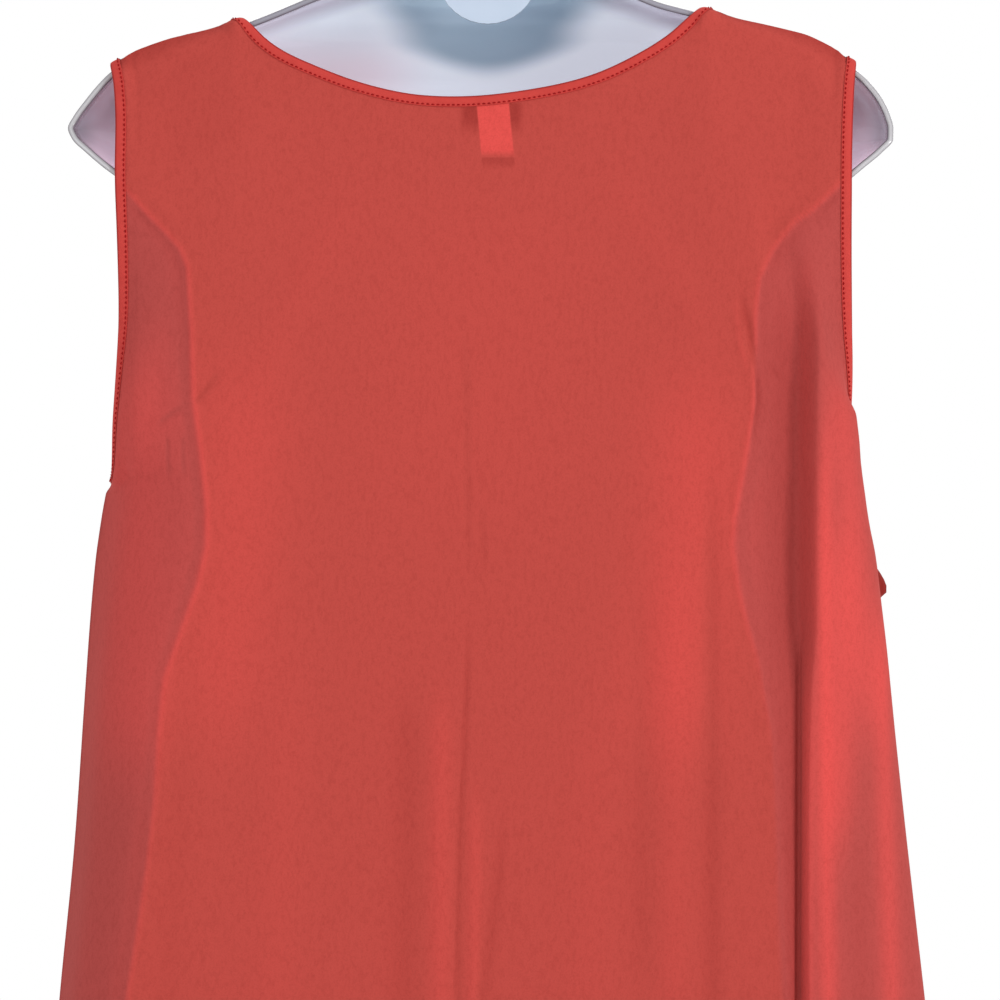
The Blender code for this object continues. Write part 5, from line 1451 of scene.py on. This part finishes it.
# A folded strip: its section as how far in from the fold and how far out of the cloth, the column
# where it is sewn, how the sewing puckers it, and how it clears the form.
folding = {
    "section": (
        (5.3, -0.05), (5.85, 0.12), (5.75, 0.40), (5.35, 0.50), (4.8, 0.36), (4.1, 0.56), (2.8, 0.68),
        (1.5, 0.64), (0.5, 0.38), (0.0, -0.30), (0.25, -1.0), (1.2, -1.45), (3.0, -1.5), (4.8, -1.45),
        (5.6, -1.2),
    ),
    "sewn": 4, "pucker": ((0.10, 2.1, 0.0), (0.07, 0.9, 1.3)), "puckered": {5: 1.0, 6: 0.6},
    "clear": (0.25, 5.0), "edgeTimes": 2,
}
# a stitch is a bead of thread along its line: the rings round it are so high and so wide
stitch = {
    "length": 1.9, "gap": 0.75, "thick": 0.85, "rise": 0.12, "sides": 6,
    "rings": ((-0.24, 0.35), (0.3825, 1.0), (-0.24, 0.35)), "hemUp": 18.5, "hemRise": 0.1,
}


def foldedStrip(name, key):
    points, facing, way = denser(edges[key], folding["edgeTimes"])
    count = len(points)
    steps = np.arange(count)
    pucker = sum(size * np.sin(steps * pace + start) for size, pace, start in folding["pucker"])
    section = np.array(folding["section"])
    rows = points[:, None] + way[:, None] * section[None, :, :1] + facing[:, None] * section[None, :, 1:]
    for column, share in folding["puckered"].items():
        rows[:, column] += facing * pucker[:, None] * share
    rows = outOfForm(rows, *folding["clear"])
    faces = gridFaces(count, len(section), ring=True)
    piece = makeMesh(name, rows.reshape(-1, 3), faces, materials["binding"])
    storeValues(piece, "across", np.tile(section[:, 0] / binding["width"], count))
    return piece, (closed(rows[:, folding["sewn"]] + facing * stitch["rise"]), closed(facing))


def addStitches(points, faces, line, facing):
    keys = lengthsAlong(line)
    count = int(keys[-1] / (stitch["length"] + stitch["gap"]))
    half, sides = stitch["thick"] / 2, stitch["sides"]
    turns = (np.arange(sides) * 2 * math.pi / sides)[:, None]
    caps = [list(range(sides))[::-1], list(range(2 * sides, 3 * sides))]
    bead = gridFaces(3, sides, loop=True) + caps
    for i in range(count):
        faces += [[k + len(points) for k in face] for face in bead]
        middle = (i + 0.5) * keys[-1] / count
        places = lineAt(line, keys, middle + np.array((-0.5, 0.0, 0.5)) * stitch["length"])
        up = unit(lineAt(facing, keys, middle))
        across = unit(np.cross(up, unit(places[2] - places[0])))
        for place, (lift, wide) in zip(places, stitch["rings"]):
            radius = half * wide
            points += list(place + across * radius * np.cos(turns) + up * (lift + radius * np.sin(turns)))


def sewn(name, *rows):
    points, faces = [], []
    for line, facing in rows:
        addStitches(points, faces, line, facing)
    piece = makeMesh(name, points, faces, materials["thread"])
    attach(piece, "root")


def hemLine(grid, normals):
    middle = grid[:, grid.shape[1] // 2, 2]
    level = int(np.searchsorted(middle, cloth["hem"] + stitch["hemUp"]))
    return grid[level] + normals[level] * stitch["hemRise"], normals[level]


strips, seams = {}, []
for node, key in stripEdges.items():
    strips[node], seam = foldedStrip(node + "_cloth", key)
    seams.append(seam)
sewn("neck_topstitch", seams[0])
sewn("armhole_topstitch", seams[1], seams[2])
sewn("hem_stitch", hemLine(backGrid, backNormals), hemLine(frontGrid, frontNormals))
print("bindings and stitches are sewn")


# the labels inside the back neck, blank, hanging behind the cloth
labels = {
    "neck_label": {"x": 0.0, "top": 661.5, "width": 40.0, "height": 12.5, "depth": 1.8, "curl": 0.6},
    "size_tab": {"x": 7.5, "top": 661.0, "width": 16.0, "height": 28.0, "depth": 3.0, "curl": 1.2},
}
labelMesh = {"rows": 15, "columns": 21, "thick": 0.35, "steepest": 0.5}


def labelPiece(name, label):
    behind = [Vector(point) for point in backGrid.reshape(-1, 3)]
    tree = BVHTree.FromPolygons(behind, gridFaces(*backGrid.shape[:2]))
    points = []
    for down in np.linspace(0, 1, labelMesh["rows"]):
        for aside in np.linspace(-0.5, 0.5, labelMesh["columns"]):
            x, z = label["x"] + aside * label["width"], label["top"] - down * label["height"]
            hit, normal, _, _ = tree.ray_cast(Vector((x, farBack, z)), Vector((0, 1, 0)))
            away = label["depth"] + label["curl"] * down * down
            points.append((x, hit.y + away / max(labelMesh["steepest"], abs(normal.y)), z))
    faces = gridFaces(labelMesh["rows"], labelMesh["columns"])
    piece = makeMesh(name, points, faces, materials["label"])
    thick = piece.modifiers.new("woven", "SOLIDIFY")
    thick.thickness = labelMesh["thick"] * mm
    thick.offset = 0
    return piece


labelPieces = {node: labelPiece(node + "_woven", label) for node, label in labels.items()}


# what each piece stands for, and its cut in metres
def standsFor(piece, node):
    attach(piece, "root")
    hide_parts(node)


# the cloth's area in square metres
def flatArea(grid):
    up, along = grid[1:, :-1] - grid[:-1, :-1], grid[:-1, 1:] - grid[:-1, :-1]
    return float(np.linalg.norm(np.cross(up, along), axis=-1).sum()) * mm ** 2


cuts = {
    "back_panel": (backCloth, backGrid, (0.560, 0.715)),
    "front_panel": (frontCloth, frontGrid, (0.640, 0.715)),
}
for node, (piece, grid, flat) in cuts.items():
    standsFor(piece, node)
    area = flatArea(grid)
    print(node, "cloth area", round(area, 3))
    area = min(area, flat[0] * flat[1])
for node, piece in strips.items():
    standsFor(piece, node)
    under = ["back_panel_cloth", "front_panel_cloth"]
for node, piece in labelPieces.items():
    standsFor(piece, node)
    flat = (labels[node]["width"] * mm, labels[node]["height"] * mm)

bpy.context.view_layer.update()
